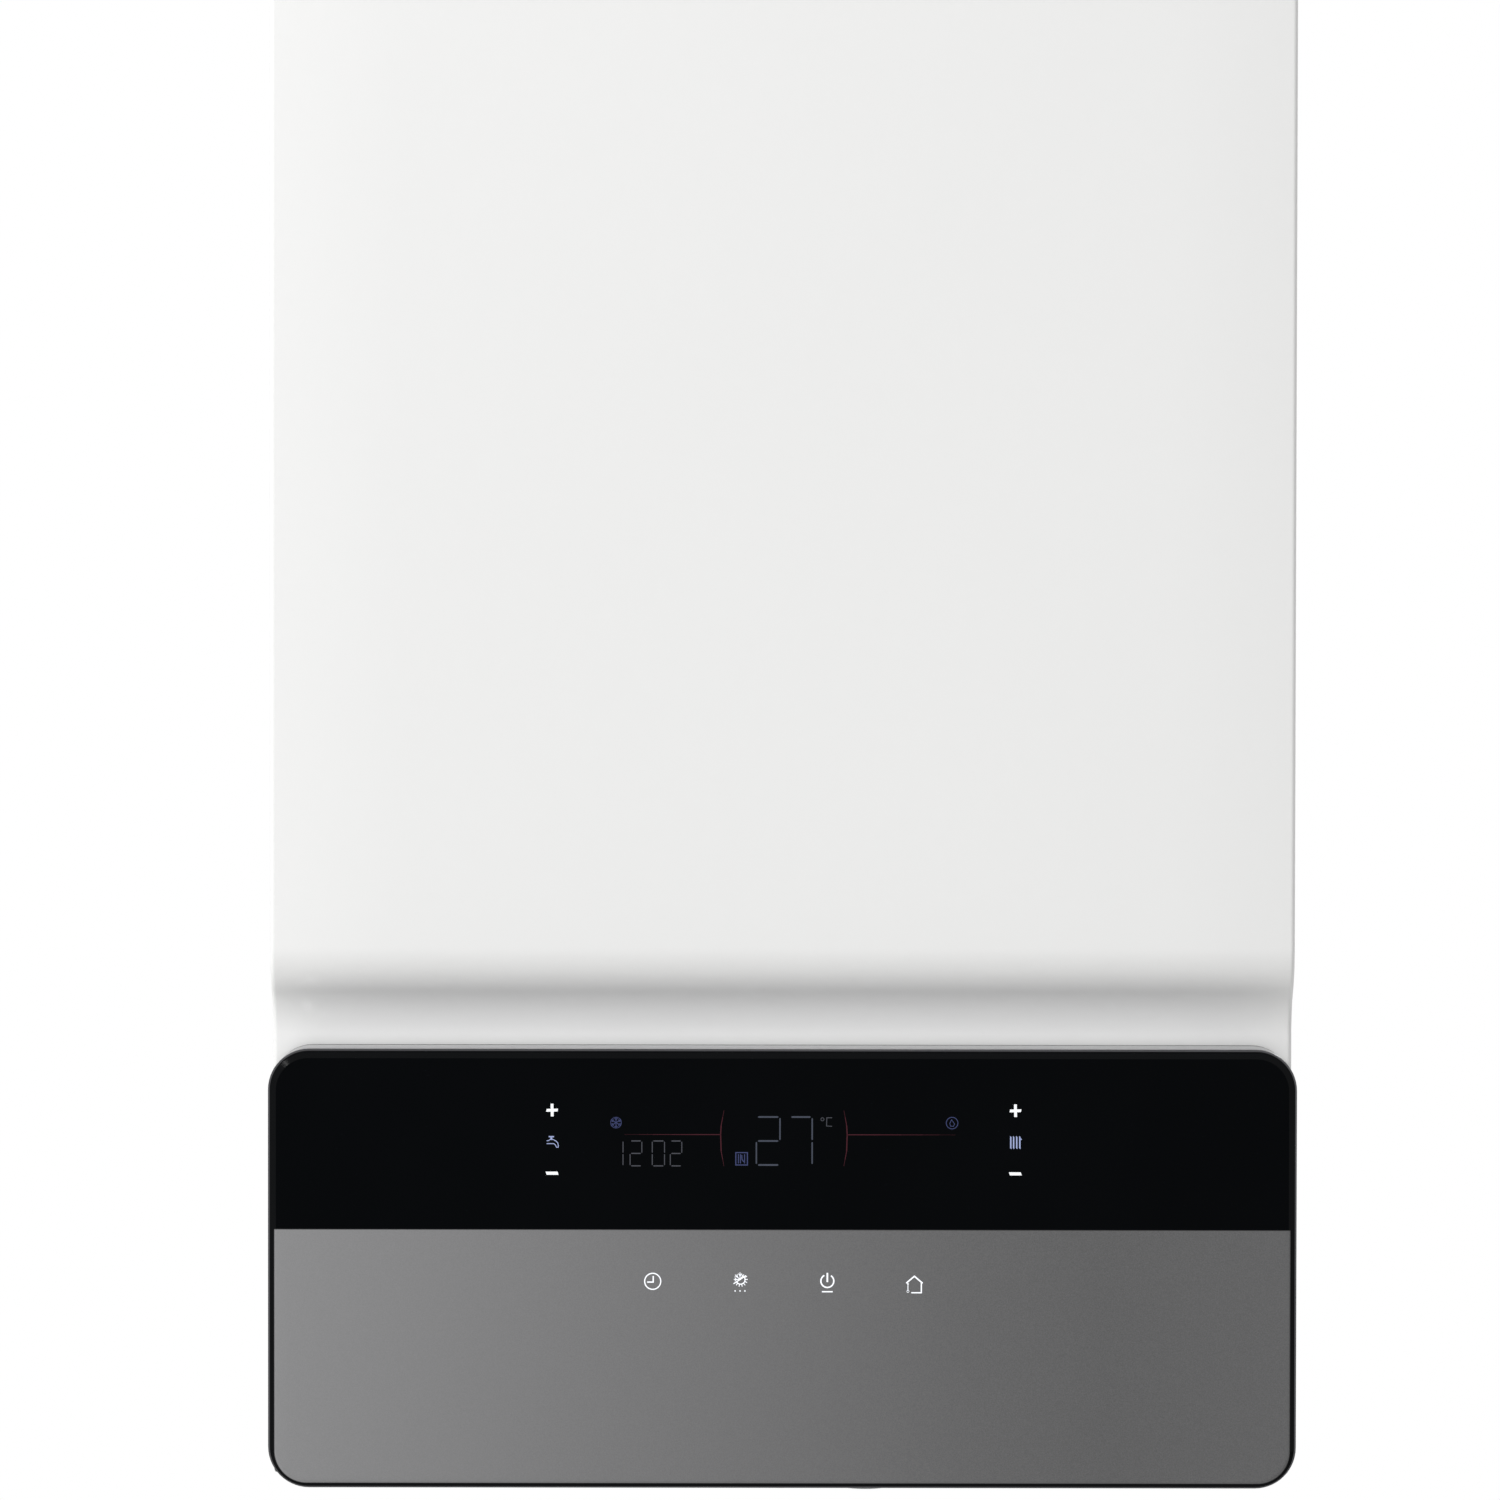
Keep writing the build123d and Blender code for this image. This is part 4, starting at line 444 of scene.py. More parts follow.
class Marks:
    """Flat marks on the glass, collected into one piece."""

    def __init__(self):
        self.points, self.faces = [], []

    def area(self, corners):
        """A filled polygon, its corners (x, z) in millimetres."""
        first = len(self.points)
        self.points += [((x + shift_x) * mm, printed, (z + shift_z) * mm) for x, z in corners]
        self.faces.append(tuple(range(first, first + len(corners))))

    def line(self, points, width, closed=False):
        """A stroke of even width through points, mitred at its corners."""
        count = len(points)
        sides = []
        for place, (x, z) in enumerate(points):
            before = points[place - 1] if closed or place else None
            after = points[(place + 1) % count] if closed or place < count - 1 else None
            ways = []
            for a, b in ((before, (x, z)), ((x, z), after)):
                if a and b:
                    way = Vector((b[0] - a[0], b[1] - a[1])).normalized()
                    ways.append(Vector((-way.y, way.x)))
            normal = (ways[0] + ways[-1]) / (1 + ways[0].dot(ways[-1]))
            sides.append((Vector((x, z)) + normal * width / 2, Vector((x, z)) - normal * width / 2))
        last = count if closed else count - 1
        for place in range(last):
            a, b = sides[place], sides[(place + 1) % count]
            self.area([a[0], a[1], b[1], b[0]])

    def circle(self, x, z, radius, width=0.0, start=0, turn=360, steps=40):
        """A disc, or a ring or arc where a width is given."""
        points = [(x + radius * cos(radians(start + turn * step / steps)),
                   z + radius * sin(radians(start + turn * step / steps))) for step in range(steps + (turn != 360))]
        if width:
            self.line(points, width, closed=turn == 360)
        else:
            self.area(points)

    def make(self, name, material):
        """Makes the piece, every face towards the front."""
        mesh = mesh_of(name, self.points, self.faces)
        shape = bmesh.new()
        shape.from_mesh(mesh)
        for face in shape.faces:
            if face.normal.y > 0:
                face.normal_flip()
        shape.to_mesh(mesh)
        shape.free()
        new_piece(name, mesh, material, "control_panel")


def touch_keys():
    """Plus and minus at each side of the display."""
    marks = Marks()
    for x in (-89.6, 90.2):
        marks.area([(x - 2.3, 146.6), (x + 2.1, 146.7), (x + 2.3, 147.8), (x - 2.1, 147.7)])
        marks.area([(x - 0.5, 144.8), (x + 0.6, 144.8), (x + 0.5, 149.7), (x - 0.6, 149.7)])
        marks.area([(x - 2.5, 123.3), (x - 2.1, 122.1), (x + 2.5, 122.1), (x + 2.1, 123.3)])
    marks.make("key_marks", glow("key_print", (0.76, 0.78, 0.80), 0.45))


def key_symbols():
    """The signs between plus and minus."""
    marks = Marks()
    # tap: a handle on its stem over a spout drawn in outline
    marks.line([(-90.9, 136.9), (-88.9, 136.9)], 0.5)
    marks.line([(-89.9, 136.8), (-89.9, 135.9)], 0.7)
    marks.line([(-91.7, 135.3), (-90.9, 135.4), (-90.4, 135.8), (-89.2, 135.8), (-88.1, 135.2), (-87.4, 134.5),
                (-87.2, 133.6), (-87.2, 132.8), (-87.9, 132.8), (-88.3, 133.7), (-88.9, 134.2), (-91.7, 134.2)], 0.3)
    # radiator: four slanted bars, the last one with a flag
    for x in (88.4, 89.5, 90.7, 91.9):
        marks.area([(x - 0.27, 137.4), (x - 0.27, 132.7), (x + 0.27, 132.3), (x + 0.27, 137.0)])
    marks.area([(92.0, 136.9), (92.0, 135.9), (92.8, 135.9)])
    marks.make("key_symbols", glow("key_light", (0.245, 0.287, 0.456), 0.6))


def segments(marks, digit, left, right, low, high, bar, post):
    """A seven-segment numeral between four edges; bar and post are the widths of its strokes."""
    lit = {"0": "abcdef", "1": "bc", "2": "abged", "7": "abc"}[digit]
    middle, gap = (low + high) / 2, bar
    inner = (left + post + gap, right - post - gap)
    for name in lit:
        if name in "agd":
            z = {"a": high - bar / 2, "g": middle, "d": low + bar / 2}[name]
            marks.area([(inner[0], z - bar / 2), (inner[1], z - bar / 2), (inner[1] + bar * 0.6, z),
                        (inner[1], z + bar / 2), (inner[0], z + bar / 2), (inner[0] - bar * 0.6, z)])
        else:
            x = left + post / 2 if name in "ef" else right - post / 2
            ends = (middle + gap, high - bar - gap / 2) if name in "bf" else (low + bar + gap / 2, middle - gap)
            marks.area([(x - post / 2, ends[0]), (x, ends[0] - post * 0.6), (x + post / 2, ends[0]),
                        (x + post / 2, ends[1]), (x, ends[1] + post * 0.6), (x - post / 2, ends[1])])


def display_numbers():
    """The two large numerals in the middle."""
    marks = Marks()
    segments(marks, "2", -10.6, -0.9, 125.7, 145.0, 0.65, 0.55)
    segments(marks, "7", 2.3, 11.6, 125.7, 145.0, 0.65, 0.55)
    marks.make("display_numbers", glow("segment_light", (0.041, 0.047, 0.064), 0.55))


def display_clock():
    """The degree sign and its letter beside the large numerals, and the time at the left."""
    marks = Marks()
    marks.circle(15.3, 143.8, 0.6, 0.22, steps=20)
    marks.line([(19.0, 144.4), (17.0, 144.4), (16.9, 141.2), (19.0, 141.1)], 0.28)
    for digit, left, right in (("1", -65.4, -61.9), ("2", -59.5, -54.6), ("0", -50.9, -45.8), ("2", -43.9, -39.1)):
        segments(marks, digit, left, right, 125.4, 135.5, 0.42, 0.34)
    marks.make("display_clock", glow("clock_light", (0.050, 0.052, 0.062), 0.5))


def fading_line(marks, points, width):
    """A stroke that thins to nothing at its first point."""
    for place, (a, b) in enumerate(zip(points, points[1:])):
        marks.line([a, b], width * (place + 1) / (len(points) - 1))


def display_frames():
    """A bow at each side of the large numerals, with a line from its middle that fades outwards."""
    marks = Marks()
    for side, end, join in ((-1, -61.5, -24.2), (1, 67.0, 24.9)):
        fading_line(marks, [(end + (join - end) * part, 137.8) for part in (0, 0.15, 0.3, 0.5, 0.7, 1)], 0.32)
        bow = [(join + side * -1.3, 147.2), (join + side * -0.8, 144.6), (join + side * -0.2, 141.4), (join, 137.8)]
        fading_line(marks, bow, 0.42)
        fading_line(marks, [(x, 2 * 136.4 - z) for x, z in bow[:-1]] + [(join, 137.8)], 0.42)
    marks.make("display_frames", glow("frame_light", (0.042, 0.009, 0.014), 0.6))


def display_symbols():
    """The small signs in the display."""
    marks = Marks()
    # snowflake in a ring
    for turn in range(0, 360, 60):
        way = Vector((cos(radians(turn + 30)), sin(radians(turn + 30))))
        side = Vector((-way.y, way.x))
        middle = Vector((-64.8, 142.4))
        marks.line([tuple(middle), tuple(middle + way * 2.0)], 0.3)
        for lean in (-1, 1):
            marks.line([tuple(middle + way * 1.1), tuple(middle + way * 1.7 + side * 0.6 * lean)], 0.25)
    marks.circle(-64.8, 142.4, 2.1, 0.2)
    # flame in a ring
    marks.circle(65.6, 142.4, 2.25, 0.28)
    marks.line([(65.4, 143.7), (64.7, 142.3), (65.0, 141.2), (66.1, 141.1), (66.6, 142.0)], 0.25, closed=True)
    # window of the mode shown, with a small dial in it
    marks.line([(-18.3, 126.0), (-13.8, 126.0), (-13.8, 130.8), (-18.3, 130.8)], 0.4, closed=True)
    for x in (-17.3, -16.5, -14.9):
        marks.line([(x, 126.6), (x, 130.2)], 0.35)
    marks.line([(-16.0, 129.9), (-15.9, 128.2), (-15.2, 127.2)], 0.4)
    marks.make("display_symbols", glow("symbol_light", (0.034, 0.042, 0.105), 0.6))


def lower_keys():
    """The signs of the four touch keys below the display."""
    marks = Marks()
    # clock
    marks.circle(-50.5, 80.7, 3.12, 0.46)
    marks.line([(-50.3, 82.8), (-50.3, 80.4), (-52.7, 80.4)], 0.5)
    # half snowflake over a slanted bar, half sun under it
    x, z = -16.6, 81.4
    marks.line([(x - 2.5, z - 1.6), (x + 2.3, z + 1.6)], 0.45)
    for way in ((0, 2.8), (-1.9, 1.9), (-2.4, 0.1), (1.5, 2.0)):
        marks.line([(x, z), (x + way[0], z + way[1])], 0.32)
        for lean in (-0.45, 0.45):
            marks.line([(x + way[0] * 0.55, z + way[1] * 0.55),
                        (x + way[0] * 0.85 - way[1] * lean * 0.6, z + way[1] * 0.85 + way[0] * lean * 0.6)], 0.24)
    marks.circle(x + 0.2, z, 1.75, 0.42, start=-145, turn=180, steps=20)
    for turn in (28, 2, -24, -50, -76, -102, -128):
        away = Vector((cos(radians(turn)), sin(radians(turn))))
        marks.line([tuple(Vector((x + 0.2, z)) + away * 1.9), tuple(Vector((x + 0.2, z)) + away * 2.8)], 0.32)
    for place in range(3):
        marks.circle(x - 1.9 + place * 1.9, 77.0, 0.3, steps=12)
    # standby
    marks.circle(17.3, 80.9, 2.5, 0.55, start=118, turn=298, steps=36)
    marks.line([(17.3, 84.1), (17.3, 80.5)], 0.65)
    marks.area([(15.2, 76.5), (19.4, 76.5), (19.4, 77.0), (15.2, 77.0)])
    # house with a thermometer in place of its near wall
    marks.line([(47.9, 80.1), (51.1, 82.8), (54.3, 80.1)], 0.55)
    marks.line([(53.8, 80.2), (53.8, 76.4), (49.9, 76.4)], 0.5)
    marks.line([(48.6, 80.2), (48.6, 79.4)], 0.45)
    marks.line([(48.6, 79.3), (48.6, 77.2)], 0.32)
    marks.circle(48.6, 76.9, 0.42, 0.2, steps=16)
    marks.make("lower_keys", glow("lower_print", (0.80, 0.82, 0.86), 0.45))


for draw in (touch_keys, key_symbols, display_numbers, display_clock, display_frames, display_symbols, lower_keys):
    draw()


# ---------------------------------------------------------------- inner pieces

bodies = {name: body for body, names in frame["record"]["behaviour"]["bodies"].items() for name in names}
slots = {entry["node"]: entry["material_slot"] for entry in frame["record"]["subparts"]}

# places in millimetres that several inner pieces share: middles are (x, z) in the front view
burner, fan = (35, 500), (-118, 300)
tail_y, duct_y, gas_y = -110, -216.2, -158.2
door_face, fan_face = -198.2, -236.2
neck_x, fan_mouth = -164.5, 370


def softened(name, width):
    """A piece of a CAD node's own shape, its edges rounded as a casting's, moulding's or pressing's are."""
    mesh = nodes[name].data.copy()
    mesh.materials.clear()
    shape = bmesh.new()
    shape.from_mesh(mesh)
    bmesh.ops.remove_doubles(shape, verts=shape.verts, dist=1e-6)
    bmesh.ops.dissolve_limit(shape, angle_limit=radians(1), verts=shape.verts, edges=shape.edges)
    if name == "control_tray":
        # the cheeks' lower front corners are cut back, so that they stay behind the panel's rounded corners
        cheek_side, cheek_front, low_edge, cut_height = 197.9 * mm, -270 * mm, 5 * mm, 8 * mm
        for vertex in shape.verts:
            if abs(vertex.co.x) > cheek_side and vertex.co.y < cheek_front and vertex.co.z < low_edge:
                vertex.co.z = cut_height
    shape.to_mesh(mesh)
    shape.free()
    piece = new_piece(name + "_form", mesh, finishes[slots[name]], bodies[name], 50)
    rounding = piece.modifiers.new("rounding", "BEVEL")
    rounding.width, rounding.segments, rounding.limit_method = width, 3, "ANGLE"
    rounding.angle_limit = radians(40)
    rounding.harden_normals = True
    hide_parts(name)


for name, width in (("control_tray", 0.8), ("control_box_cover", 1.2), ("air_silencer", 3.0), ("exchanger_case", 1.5),
                    ("venturi_mixer", 1.5), ("gas_valve_body", 1.2), ("ignition_transformer", 2.0),
                    ("plate_heat_exchanger", 1.5), ("flow_manifold", 2.0), ("return_manifold", 2.0),
                    ("diverter_motor", 2.0), ("pump_housing", 2.5), ("pump_motor", 2.5), ("flue_air_collar", 0.7),
                    ("flue_test_caps", 0.8), ("wall_bracket", 0.4), ("safety_valve_knob", 1.2), ("fill_tap_knob", 1.2),
                    ("safety_valve", 0.6), ("air_vent", 0.6), ("cable_glands", 0.8)):
    softened(name, width * mm)


# shapes of a turned section: how far out it reaches at an angle, as a share of its radius

def hexagonal(angle):
    return 1 / cos(angle % (pi / 3) - pi / 6)


def squarish(angle):
    return min(1 / max(abs(cos(angle)), abs(sin(angle))), 1.2)


def knurled(angle):
    return 1 - 0.04 * (cos(18 * angle) > 0)


def upright(x, y, *heights):
    """A straight route up through the heights."""
    return [Vector((x, y, height)) for height in heights]


def bent(points, radius):
    """A route through points in millimetres, its right-angled corners rounded."""
    steps = 12
    route = [Vector(points[0])]
    for before, corner, after in zip(points, points[1:], points[2:]):
        corner = Vector(corner)
        back, on = (Vector(before) - corner).normalized(), (Vector(after) - corner).normalized()
        centre = corner + (back + on) * radius
        for step in range(steps + 1):
            angle = pi / 2 * step / steps
            route.append(centre - on * (radius * cos(angle)) - back * (radius * sin(angle)))
    return route + [Vector(points[-1])]


class Solids:
    """Closed forms in millimetres, collected into one piece; each is a row of rings with equal counts."""

    def __init__(self):
        self.points, self.faces = [], []

    def add(self, rings, joined=False):
        """One form through its rings: the ends are filled, or joined to each other."""
        count, first = len(rings[0]), len(self.points)
        self.points += [Vector(point) * mm for ring in rings for point in ring]
        rows = [[first + row * count + place for place in range(count)] for row in range(len(rings))]
        if not joined:
            self.faces += [tuple(rows[0]), tuple(rows[-1])]
        for row, after in zip(rows, rows[1:] + rows[:1] if joined else rows[1:]):
            self.faces += [(row[place - 1], row[place], after[place], after[place - 1]) for place in range(count)]
        return self

    def turned(self, middle, profile, axis="Z", joined=False, sides=36):
        """Turned about an upright axis, or one towards the front: (place along it, radius, shape of the section)."""
        rings = []
        for along, radius, *shape in profile:
            ring = []
            for step in range(sides):
                angle = 2 * pi * step / sides
                reach = radius * (shape[0](angle) if shape else 1)
                a, b = middle[0] + reach * cos(angle), middle[1] + reach * sin(angle)
                ring.append((a, b, along) if axis == "Z" else (a, along, b))
            rings.append(ring)
        return self.add(rings, joined)

    def nut(self, middle, low, height, half, axis="Z"):
        """A hexagon with broken corners; half is half its width across the flats."""
        return self.turned(middle, [(low, half * 0.96), (low + 1.2, half, hexagonal),
                                    (low + height - 1.2, half, hexagonal), (low + height, half * 0.96)], axis)

    def swept(self, route, outline):
        """A section (across, front to back) along a route that lies in one plane facing the front."""
        rings = []
        for place, point in enumerate(route):
            way = (route[min(place + 1, len(route) - 1)] - route[max(place - 1, 0)]).normalized()
            rings.append([point + Vector((way.z * a, b, -way.x * a)) for a, b in outline])
        return self.add(rings)

    def tube(self, route, radius):
        sides = 28
        angles = [2 * pi * step / sides for step in range(sides)]
        return self.swept(route, [(radius * cos(angle), radius * sin(angle)) for angle in angles])

    def pressed(self, half_x, low_z, high_z, corner, steps):
        """A rounded rectangle carried towards the front: (depth, inset) at each step."""
        rings = []
        for depth, inset in steps:
            outline = rounded_outline(half_x - inset, low_z + inset, high_z - inset, max(corner - inset, 4))
            rings.append([(x, depth, z) for x, z in outline])
        return self.add(rings)

    def make(self, name, slot, *replaced, body="casing", smooth=35):
        mesh = mesh_of(name, self.points, self.faces)
        outward(mesh)
        piece = new_piece(name, mesh, finishes[slot], body, smooth)
        if replaced:
            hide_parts(*replaced)


def make_pipes():
    """Water, vessel and gas pipes, with nuts at the water and gas pipes' ends."""
    nuts = Solids()
    for name, x, low, high in (("flow_pipe", -35, 134, 382), ("return_pipe", 105, 240, 382)):
        Solids().turned((x, tail_y), [(low, 9.0), (high, 9.0)]).make(name + "_tube", "copper", name)
        for z in (low, high - 14):
            nuts.nut((x, tail_y), z, 14, 12)
    nuts.make("union_nuts", "brass")
    Solids().turned((86, -60), [(190, 5), (330, 5)]).make("vessel_pipe_tube", "copper", "vessel_pipe")
    route = bent([(0, gas_y, 157), (0, gas_y, 215), (fan[0], gas_y, 215), (fan[0], gas_y, 265)], 24)
    feed = Solids().tube(route, 9)
    feed.nut((0, gas_y), 156, 12, 12).nut((fan[0], gas_y), 254, 12, 12)
    feed.make("gas_feed_tube", "stainless", "gas_feed_pipe")


def make_threads():
    """Ridges on the tails below the casing."""
    threads = Solids()
    for x, crest in ((-130, 13.3), (-65, 10.6), (0, 13.3), (65, 10.6), (130, 13.3)):
        for turn in range(7):
            z = -23 + turn * 1.85
            threads.turned((x, tail_y), [(z - 0.8, crest - 0.5), (z, crest + 0.3), (z + 0.8, crest - 0.5)], joined=True)
    threads.make("tail_threads", "brass", smooth=20)


def make_siphon():
    """Square-sided trap on a knurled ring, with the drain below it and its inlet above."""
    middle = (burner[0], -137.2)
    column = [(190, 17.5), (191, 18.2), (214, 18.2), (214.6, 19), (219.4, 19), (220, 18.2), (262, 18.2), (262.6, 19),
              (267.4, 19), (268, 18.2), (328.6, 18.2), (330, 17)]
    trap = Solids().turned(middle, [(z, radius, squarish) for z, radius in column], sides=72)
    trap.turned(middle, [(174, 16.8), (175, 17.6, knurled), (188.5, 18, knurled), (190, 17.2)], sides=144)
    trap.turned(middle, [(330, 12), (338, 12), (338.5, 13), (346, 13), (346.5, 12), (382, 12)])
    trap.make("siphon_trap", "siphon_plastic", "condensate_siphon")
    drain = [(-21, 7.5), (-21, 10.2), (-20.4, 10.5), (-1, 10.5), (-0.6, 9.5), (174, 9.5), (174, 7.5)]
    Solids().turned(middle, drain, joined=True).make("drain_tube", "siphon_plastic", "condensate_drain_pipe")


def make_fan_motor():
    """Round motor with cooling grooves, a domed front and its plug below."""
    profile = [(fan_face, 38.5), (-237.4, 40)]
    for place in range(4):
        y = -240.5 - place * 3.4
        profile += [(y, 40), (y - 0.4, 38), (y - 1.6, 38), (y - 2.0, 40)]
    profile += [(-255.5, 40), (-258.4, 38.6), (-260.4, 35), (-261.2, 30), (-261.2, 14), (-259.8, 12.5), (-259.8, 6)]
    motor = Solids().turned(fan, profile, "Y", sides=64)
    plug_x, plug_z = -99, 260
    plug = rounded_outline(11, -12, 12, 3)
    motor.add([[(x * size + plug_x, y, z * size + plug_z) for x, z in plug]
               for y, size in ((-236.4, 1), (-256.8, 1), (-258.2, 0.9))])
    motor.make("fan_motor_shell", "black_moulding", "fan_motor")


def make_vessel():
    """Two pressed halves with a rolled rim between them."""
    press = [(0, 0), (2.4, 0), (2.8, 3.4), (21, 4.2), (25, 5.4), (28.4, 8.6), (30.4, 13.6), (31.4, 20),
             (31.4, 62), (29.8, 66), (29.8, 74)]
    for name, rim, way in (("expansion_vessel_front", -43.8, -1), ("expansion_vessel_rear", -42.6, 1)):
        steps = [(rim + way * depth, inset) for depth, inset in press]
        Solids().pressed(150, 330, 648, 55, steps).make(name + "_shell", "red_paint", name)


flange_outline = rounded_outline(26.5, -20.6, 20.6, 5, 6)


def make_door():
    """Cast door: a rim with bosses, a raised field with ribs, the dome and the duct that bends up from the fan."""
    x, z = burner
    door = Solids()
    # height over the rim's face, half the width, and the corner's radius
    steps = [(-6.0, 126, 48), (-1.0, 126, 48), (0, 125, 47), (0, 106, 28), (1.2, 104.6, 26.6), (4.2, 103.6, 25.6),
             (5.0, 102.4, 24.4)]
    door.add([[(a + x, door_face - height, b + z) for a, b in rounded_outline(half, -half, half, corner)]
              for height, half, corner in steps])
    dome = [(-203, 51), (-204.4, 47.5), (-207, 45.2), (-211, 44), (-234.6, 44), (-236.8, 43), (-237.9, 40.8),
            (-238.2, 38), (-238.2, 24), (-236.8, 22), (-236.8, 4)]
    door.turned(burner, dome, "Y", sides=72)
    for place in range(7):
        turn = radians(40 * place - 120)
        rib = []
        for reach, height in ((42, 27), (56, 22.5), (72, 17), (88, 11.6), (99, 7.6), (102, 5.2)):
            foot, top = door_face - 3.8, door_face - height
            section = ((-3, foot), (3, foot), (1.8, top + 1.2), (0.9, top), (-0.9, top), (-1.8, top + 1.2))
            rib.append([(x + reach * cos(turn) - a * sin(turn), y, z + reach * sin(turn) + a * cos(turn))
                        for a, y in section])
        door.add(rib)
    # bosses under the nuts
    diagonal, side = 103.3, 115
    for a, b in ((-diagonal, -diagonal), (-diagonal, diagonal), (diagonal, -diagonal), (diagonal, diagonal),
                 (0, -side), (0, side), (side, 0)):
        door.turned((x + a, z + b), [(-198, 9.6), (-198.8, 9.2), (-199.4, 8.4), (-199.4, 3)], "Y")
    route = upright(neck_x, duct_y, fan_mouth, 420)
    route += bent([(neck_x, duct_y, 440), (neck_x, duct_y, z), (x, duct_y, z)], 34)
    door.swept(route, rounded_outline(20.5, -18, 18, 8, 6))
    door.swept(upright(neck_x, duct_y, fan_mouth, fan_mouth + 4), flange_outline)
    door.make("burner_door_casting", "cast_aluminium", "burner_door", smooth=40)


def scroll(inset, y):
    """The fan's outline: quarter arcs whose radius falls at each turn, the last cut short at the neck's right side."""
    x, z = fan
    neck_right, neck_left, steps, points = -27 - inset, inset - 66, 14, []
    for quarter, (a, b, radius) in enumerate(((0, 0, 66), (0, -4, 62), (4, -4, 58), (4, 0, 54))):
        radius -= inset
        last = quarter == 3
        turn = asin((a - neck_right) / radius) if last else pi / 2
        for step in range(steps):
            angle = pi + pi / 2 * quarter + turn * step / (steps - last)
            points.append((a + radius * cos(angle) + x, y, b + radius * sin(angle) + z))
    return points + [(neck_left + x, y, fan_mouth - inset), (neck_left + x, y, z + 35)]


def make_fan_housing():
    """Hollow scroll with a round eye, its flange to the duct, a raised ring round the motor and lugs with screws."""
    x, z = fan
    front, back, wall, eye_radius = fan_face, fan_face + 40, 2.5, 23

    def eye(y):
        ways = [Vector((a - x, b - z)).normalized() for a, _, b in scroll(0, 0)]
        return [(way.x * eye_radius + x, y, way.y * eye_radius + z) for way in ways]

    housing = Solids().add([scroll(0, back - 2), scroll(0, front + 2), scroll(0.6, front + 0.6), scroll(2, front),
                            eye(front), eye(front + wall), scroll(wall, front + wall), scroll(wall, back - wall),
                            eye(back - wall), eye(back), scroll(2, back), scroll(0.6, back - 0.6)], joined=True)
    housing.swept(upright(neck_x, duct_y, 340, fan_mouth - 3), rounded_outline(19.5, -19.9, 19.9, 3, 6))
    housing.swept(upright(neck_x, duct_y, fan_mouth - 4, fan_mouth), flange_outline)
    motor_ring = [(-236, 47.5), (-237.4, 46.8), (-238, 45.5), (-238, 42.5), (-236, 42)]
    housing.turned(fan, motor_ring, "Y", joined=True, sides=72)
    lug_reach = 53.5
    for turn in (-165, -115, -65, -15, 35, 80):
        lug = (lug_reach * cos(radians(turn)) + x + 1, lug_reach * sin(radians(turn)) + z - 1.5)
        housing.turned(lug, [(-236, 4.6), (-237.4, 4.4), (-238, 3.8), (-238, 1)], "Y", sides=20)
        housing.nut(lug, -240.4, 2.6, 2.6, "Y")
    housing.make("fan_scroll", "cast_aluminium", "fan_housing", smooth=40)


def make_coils():
    """The gas valve's two round coils, each with a groove and a recessed middle."""
    coils = Solids()
    profile = [(-178.2, 12.4), (-178.9, 13), (-184, 13), (-184.4, 12.3), (-185.6, 12.3), (-186, 13),
               (-202.8, 13), (-203.9, 12.2), (-204.2, 11), (-204.2, 5.4), (-203.2, 4.8), (-203.2, 1)]
    for z in (103, 133):
        coils.turned((0, z), profile, "Y")
    coils.make("valve_coils", slots["gas_valve_coils"], "gas_valve_coils", body=bodies["gas_valve_coils"])


def make_plugs():
    """Hexagonal plugs on round seats, on the manifolds' fronts."""
    plugs = Solids()
    for x, z, front, half in ((-130, 96, -128, 9.5), (130, 92, -128, 9.5), (-65, 56, -123, 7), (65, 84, -123, 6),
                              (-82, 121, -123, 7)):
        seat = [(front + 1, half + 3), (front - 1.4, half + 2.4), (front - 2, half + 1.4), (front - 2, 2)]
        plugs.turned((x, z), seat, "Y")
        plugs.nut((x, z), front - 8, 7, half, "Y")
    plugs.make("manifold_plugs", "brass")


def make_pump_plug():
    """Bleed screw in the middle of the pump motor."""
    plug = Solids().turned((112, 182), [(-199.2, 10), (-201.2, 10), (-202, 9.2), (-202, 2)], "Y")
    plug.make("pump_bleed_screw", "zinc")


for make in (make_pipes, make_threads, make_siphon, make_fan_motor, make_vessel, make_door, make_fan_housing,
             make_coils, make_plugs, make_pump_plug):
    make()


# ---------------------------------------------------------------- finishes on the CAD nodes

for entry in frame["record"]["subparts"]:
    node = nodes[entry["node"]]
    node.data.materials.clear()
    node.data.materials.append(finishes[entry["material_slot"]])
    node.data.shade_smooth()
    node.data.set_sharp_from_angle(angle=radians(32))


# ---------------------------------------------------------------- studio

def area_light(name, place, target, size, power):
    light = bpy.data.lights.new(name, "AREA")
    light.shape, light.size, light.energy = "DISK", size, power
    lamp = bpy.data.objects.new(name, light)
    lamp.location = place
    lamp.rotation_euler = (Vector(target) - Vector(place)).to_track_quat("-Z", "Y").to_euler()
    bpy.context.scene.collection.objects.link(lamp)


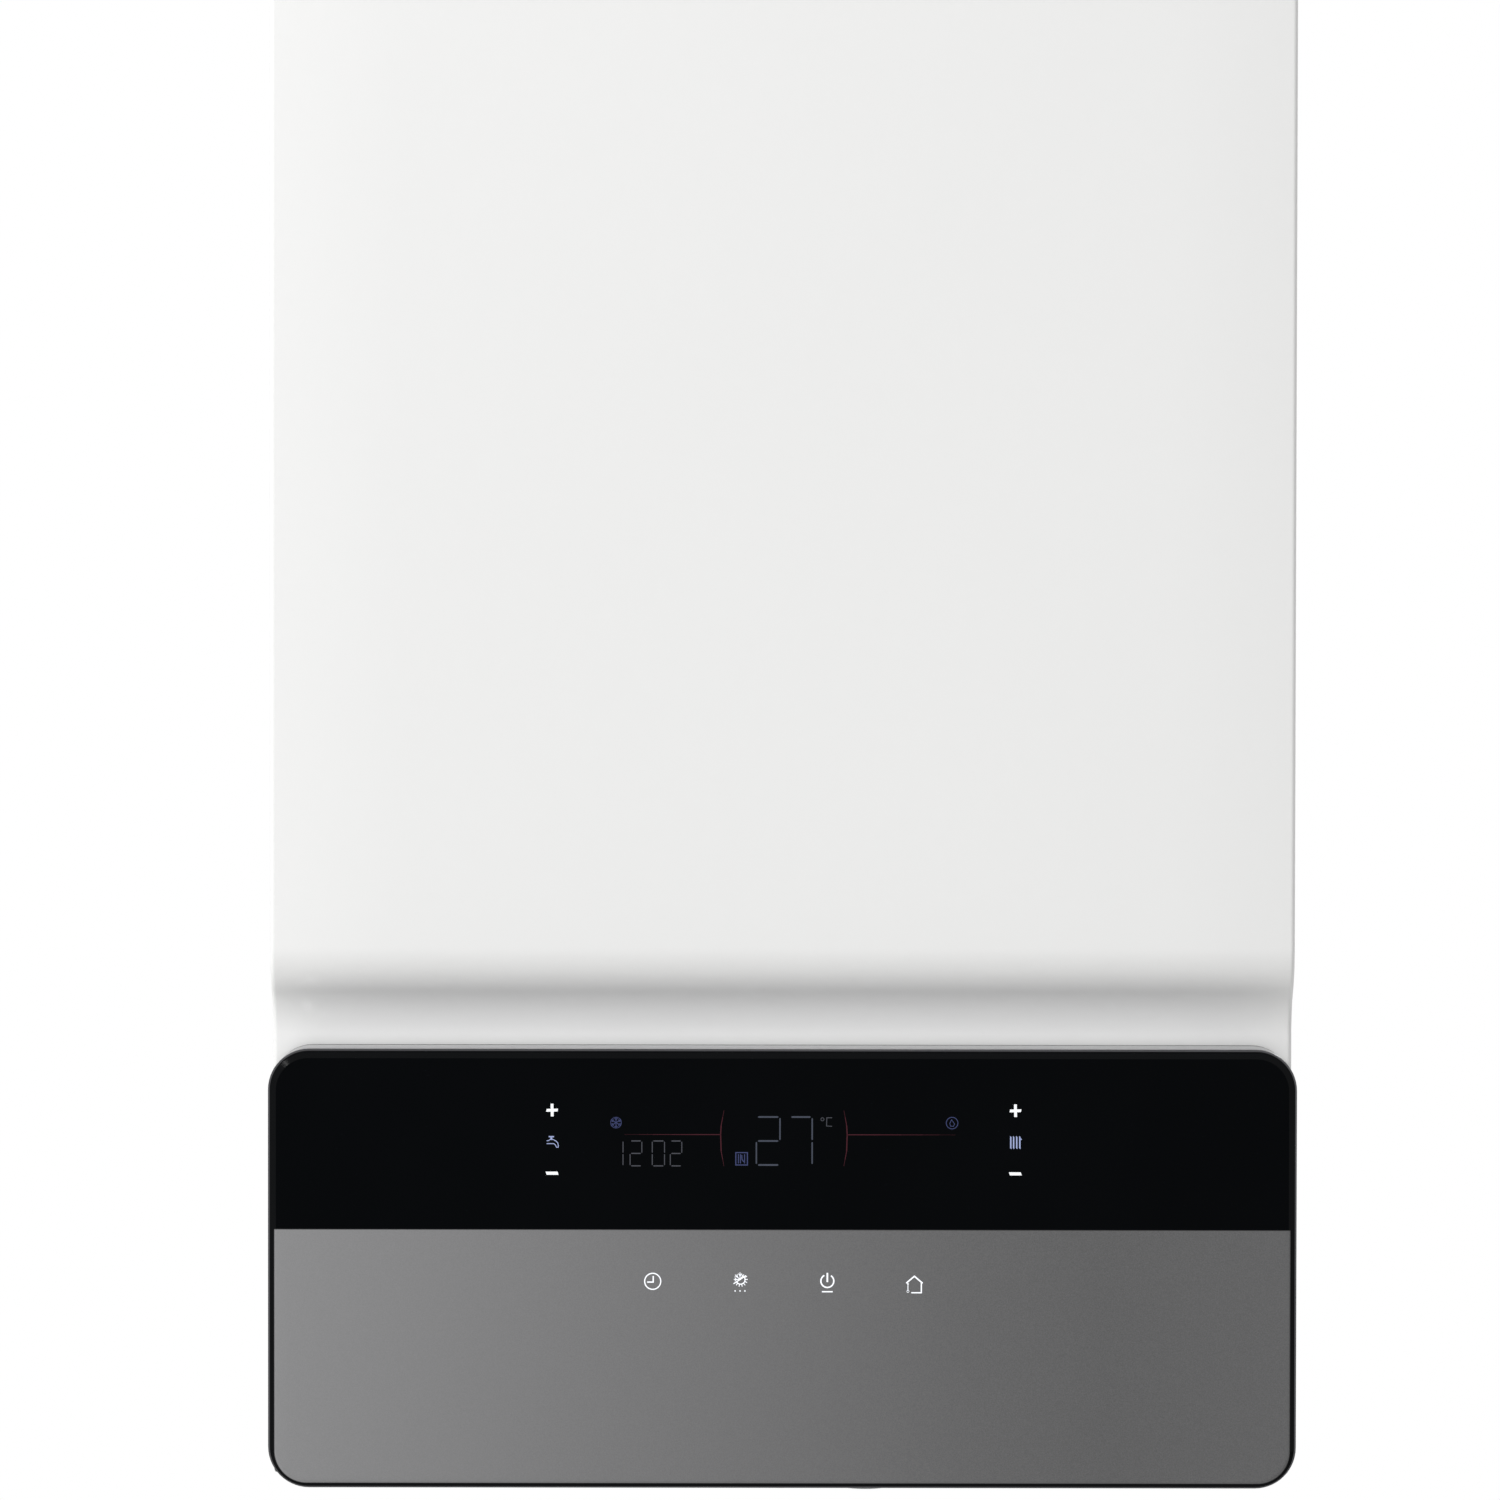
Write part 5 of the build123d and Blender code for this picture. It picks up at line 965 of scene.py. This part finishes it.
def white_to_eyes(tree, surface):
    """White for camera, glossy and transmission rays, and the given surface for all the others."""
    path = tree.nodes.new("ShaderNodeLightPath")
    eyes = path.outputs["Is Camera Ray"]
    for kind in ("Is Glossy Ray", "Is Transmission Ray"):
        both = tree.nodes.new("ShaderNodeMath")
        both.operation = "MAXIMUM"
        tree.links.new(eyes, both.inputs[0])
        tree.links.new(path.outputs[kind], both.inputs[1])
        eyes = both.outputs[0]
    mix = tree.nodes.new("ShaderNodeMixShader")
    tree.links.new(eyes, mix.inputs["Fac"])
    tree.links.new(surface, mix.inputs[1])
    return mix


def make_world():
    """A white background to look at, and a dimmer fill that lights the part."""
    world = bpy.data.worlds.new("studio")
    bpy.context.scene.world = world
    world.use_nodes = True
    tree = world.node_tree
    fill = tree.nodes["Background"]
    fill.inputs["Color"].default_value = (1, 1, 1, 1)
    fill.inputs["Strength"].default_value = 0.41
    white = tree.nodes.new("ShaderNodeBackground")
    white.inputs["Color"].default_value = (1, 1, 1, 1)
    white.inputs["Strength"].default_value = 1.0
    mix = white_to_eyes(tree, fill.outputs["Background"])
    tree.links.new(white.outputs["Background"], mix.inputs[2])
    tree.links.new(mix.outputs["Shader"], tree.nodes["World Output"].inputs["Surface"])


def make_floor():
    reach, height = 4.0, -0.9
    corners = [(x * reach, y * reach, height) for x, y in ((-1, -1), (1, -1), (1, 1), (-1, 1))]
    mesh = mesh_of("floor", corners, [(0, 1, 2, 3)])
    mesh.materials.append(finish("floor_paint", (0.82, 0.82, 0.81), 0.7, mottle=0.01, bump=0.02))
    floor = bpy.data.objects.new("floor", mesh)
    bpy.context.scene.collection.objects.link(floor)


def make_camera():
    """From the front, a little left of the middle and tilted down slightly, as in the photo."""
    camera = bpy.data.cameras.new("camera")
    camera.sensor_width, camera.lens = 36.0, 154.9
    holder = bpy.data.objects.new("camera", camera)
    holder.location = (-0.0129, -2.800, 0.3485)
    holder.rotation_euler = (radians(90 - 1.4), radians(-0.08), 0)
    bpy.context.scene.collection.objects.link(holder)
    bpy.context.scene.camera = holder


make_world()
make_floor()
make_camera()
area_light("key", (-2.9, -2.8, 2.7), (0, -0.28, 0.40), 1.2, 150)
area_light("side", (2.1, -2.5, 2.6), (0, -0.28, 0.3), 0.35, 6)
area_light("back", (1.2, 2.8, 2.2), (0, 0, 0.35), 2.2, 60)
bpy.context.scene.view_settings.view_transform = "Standard"
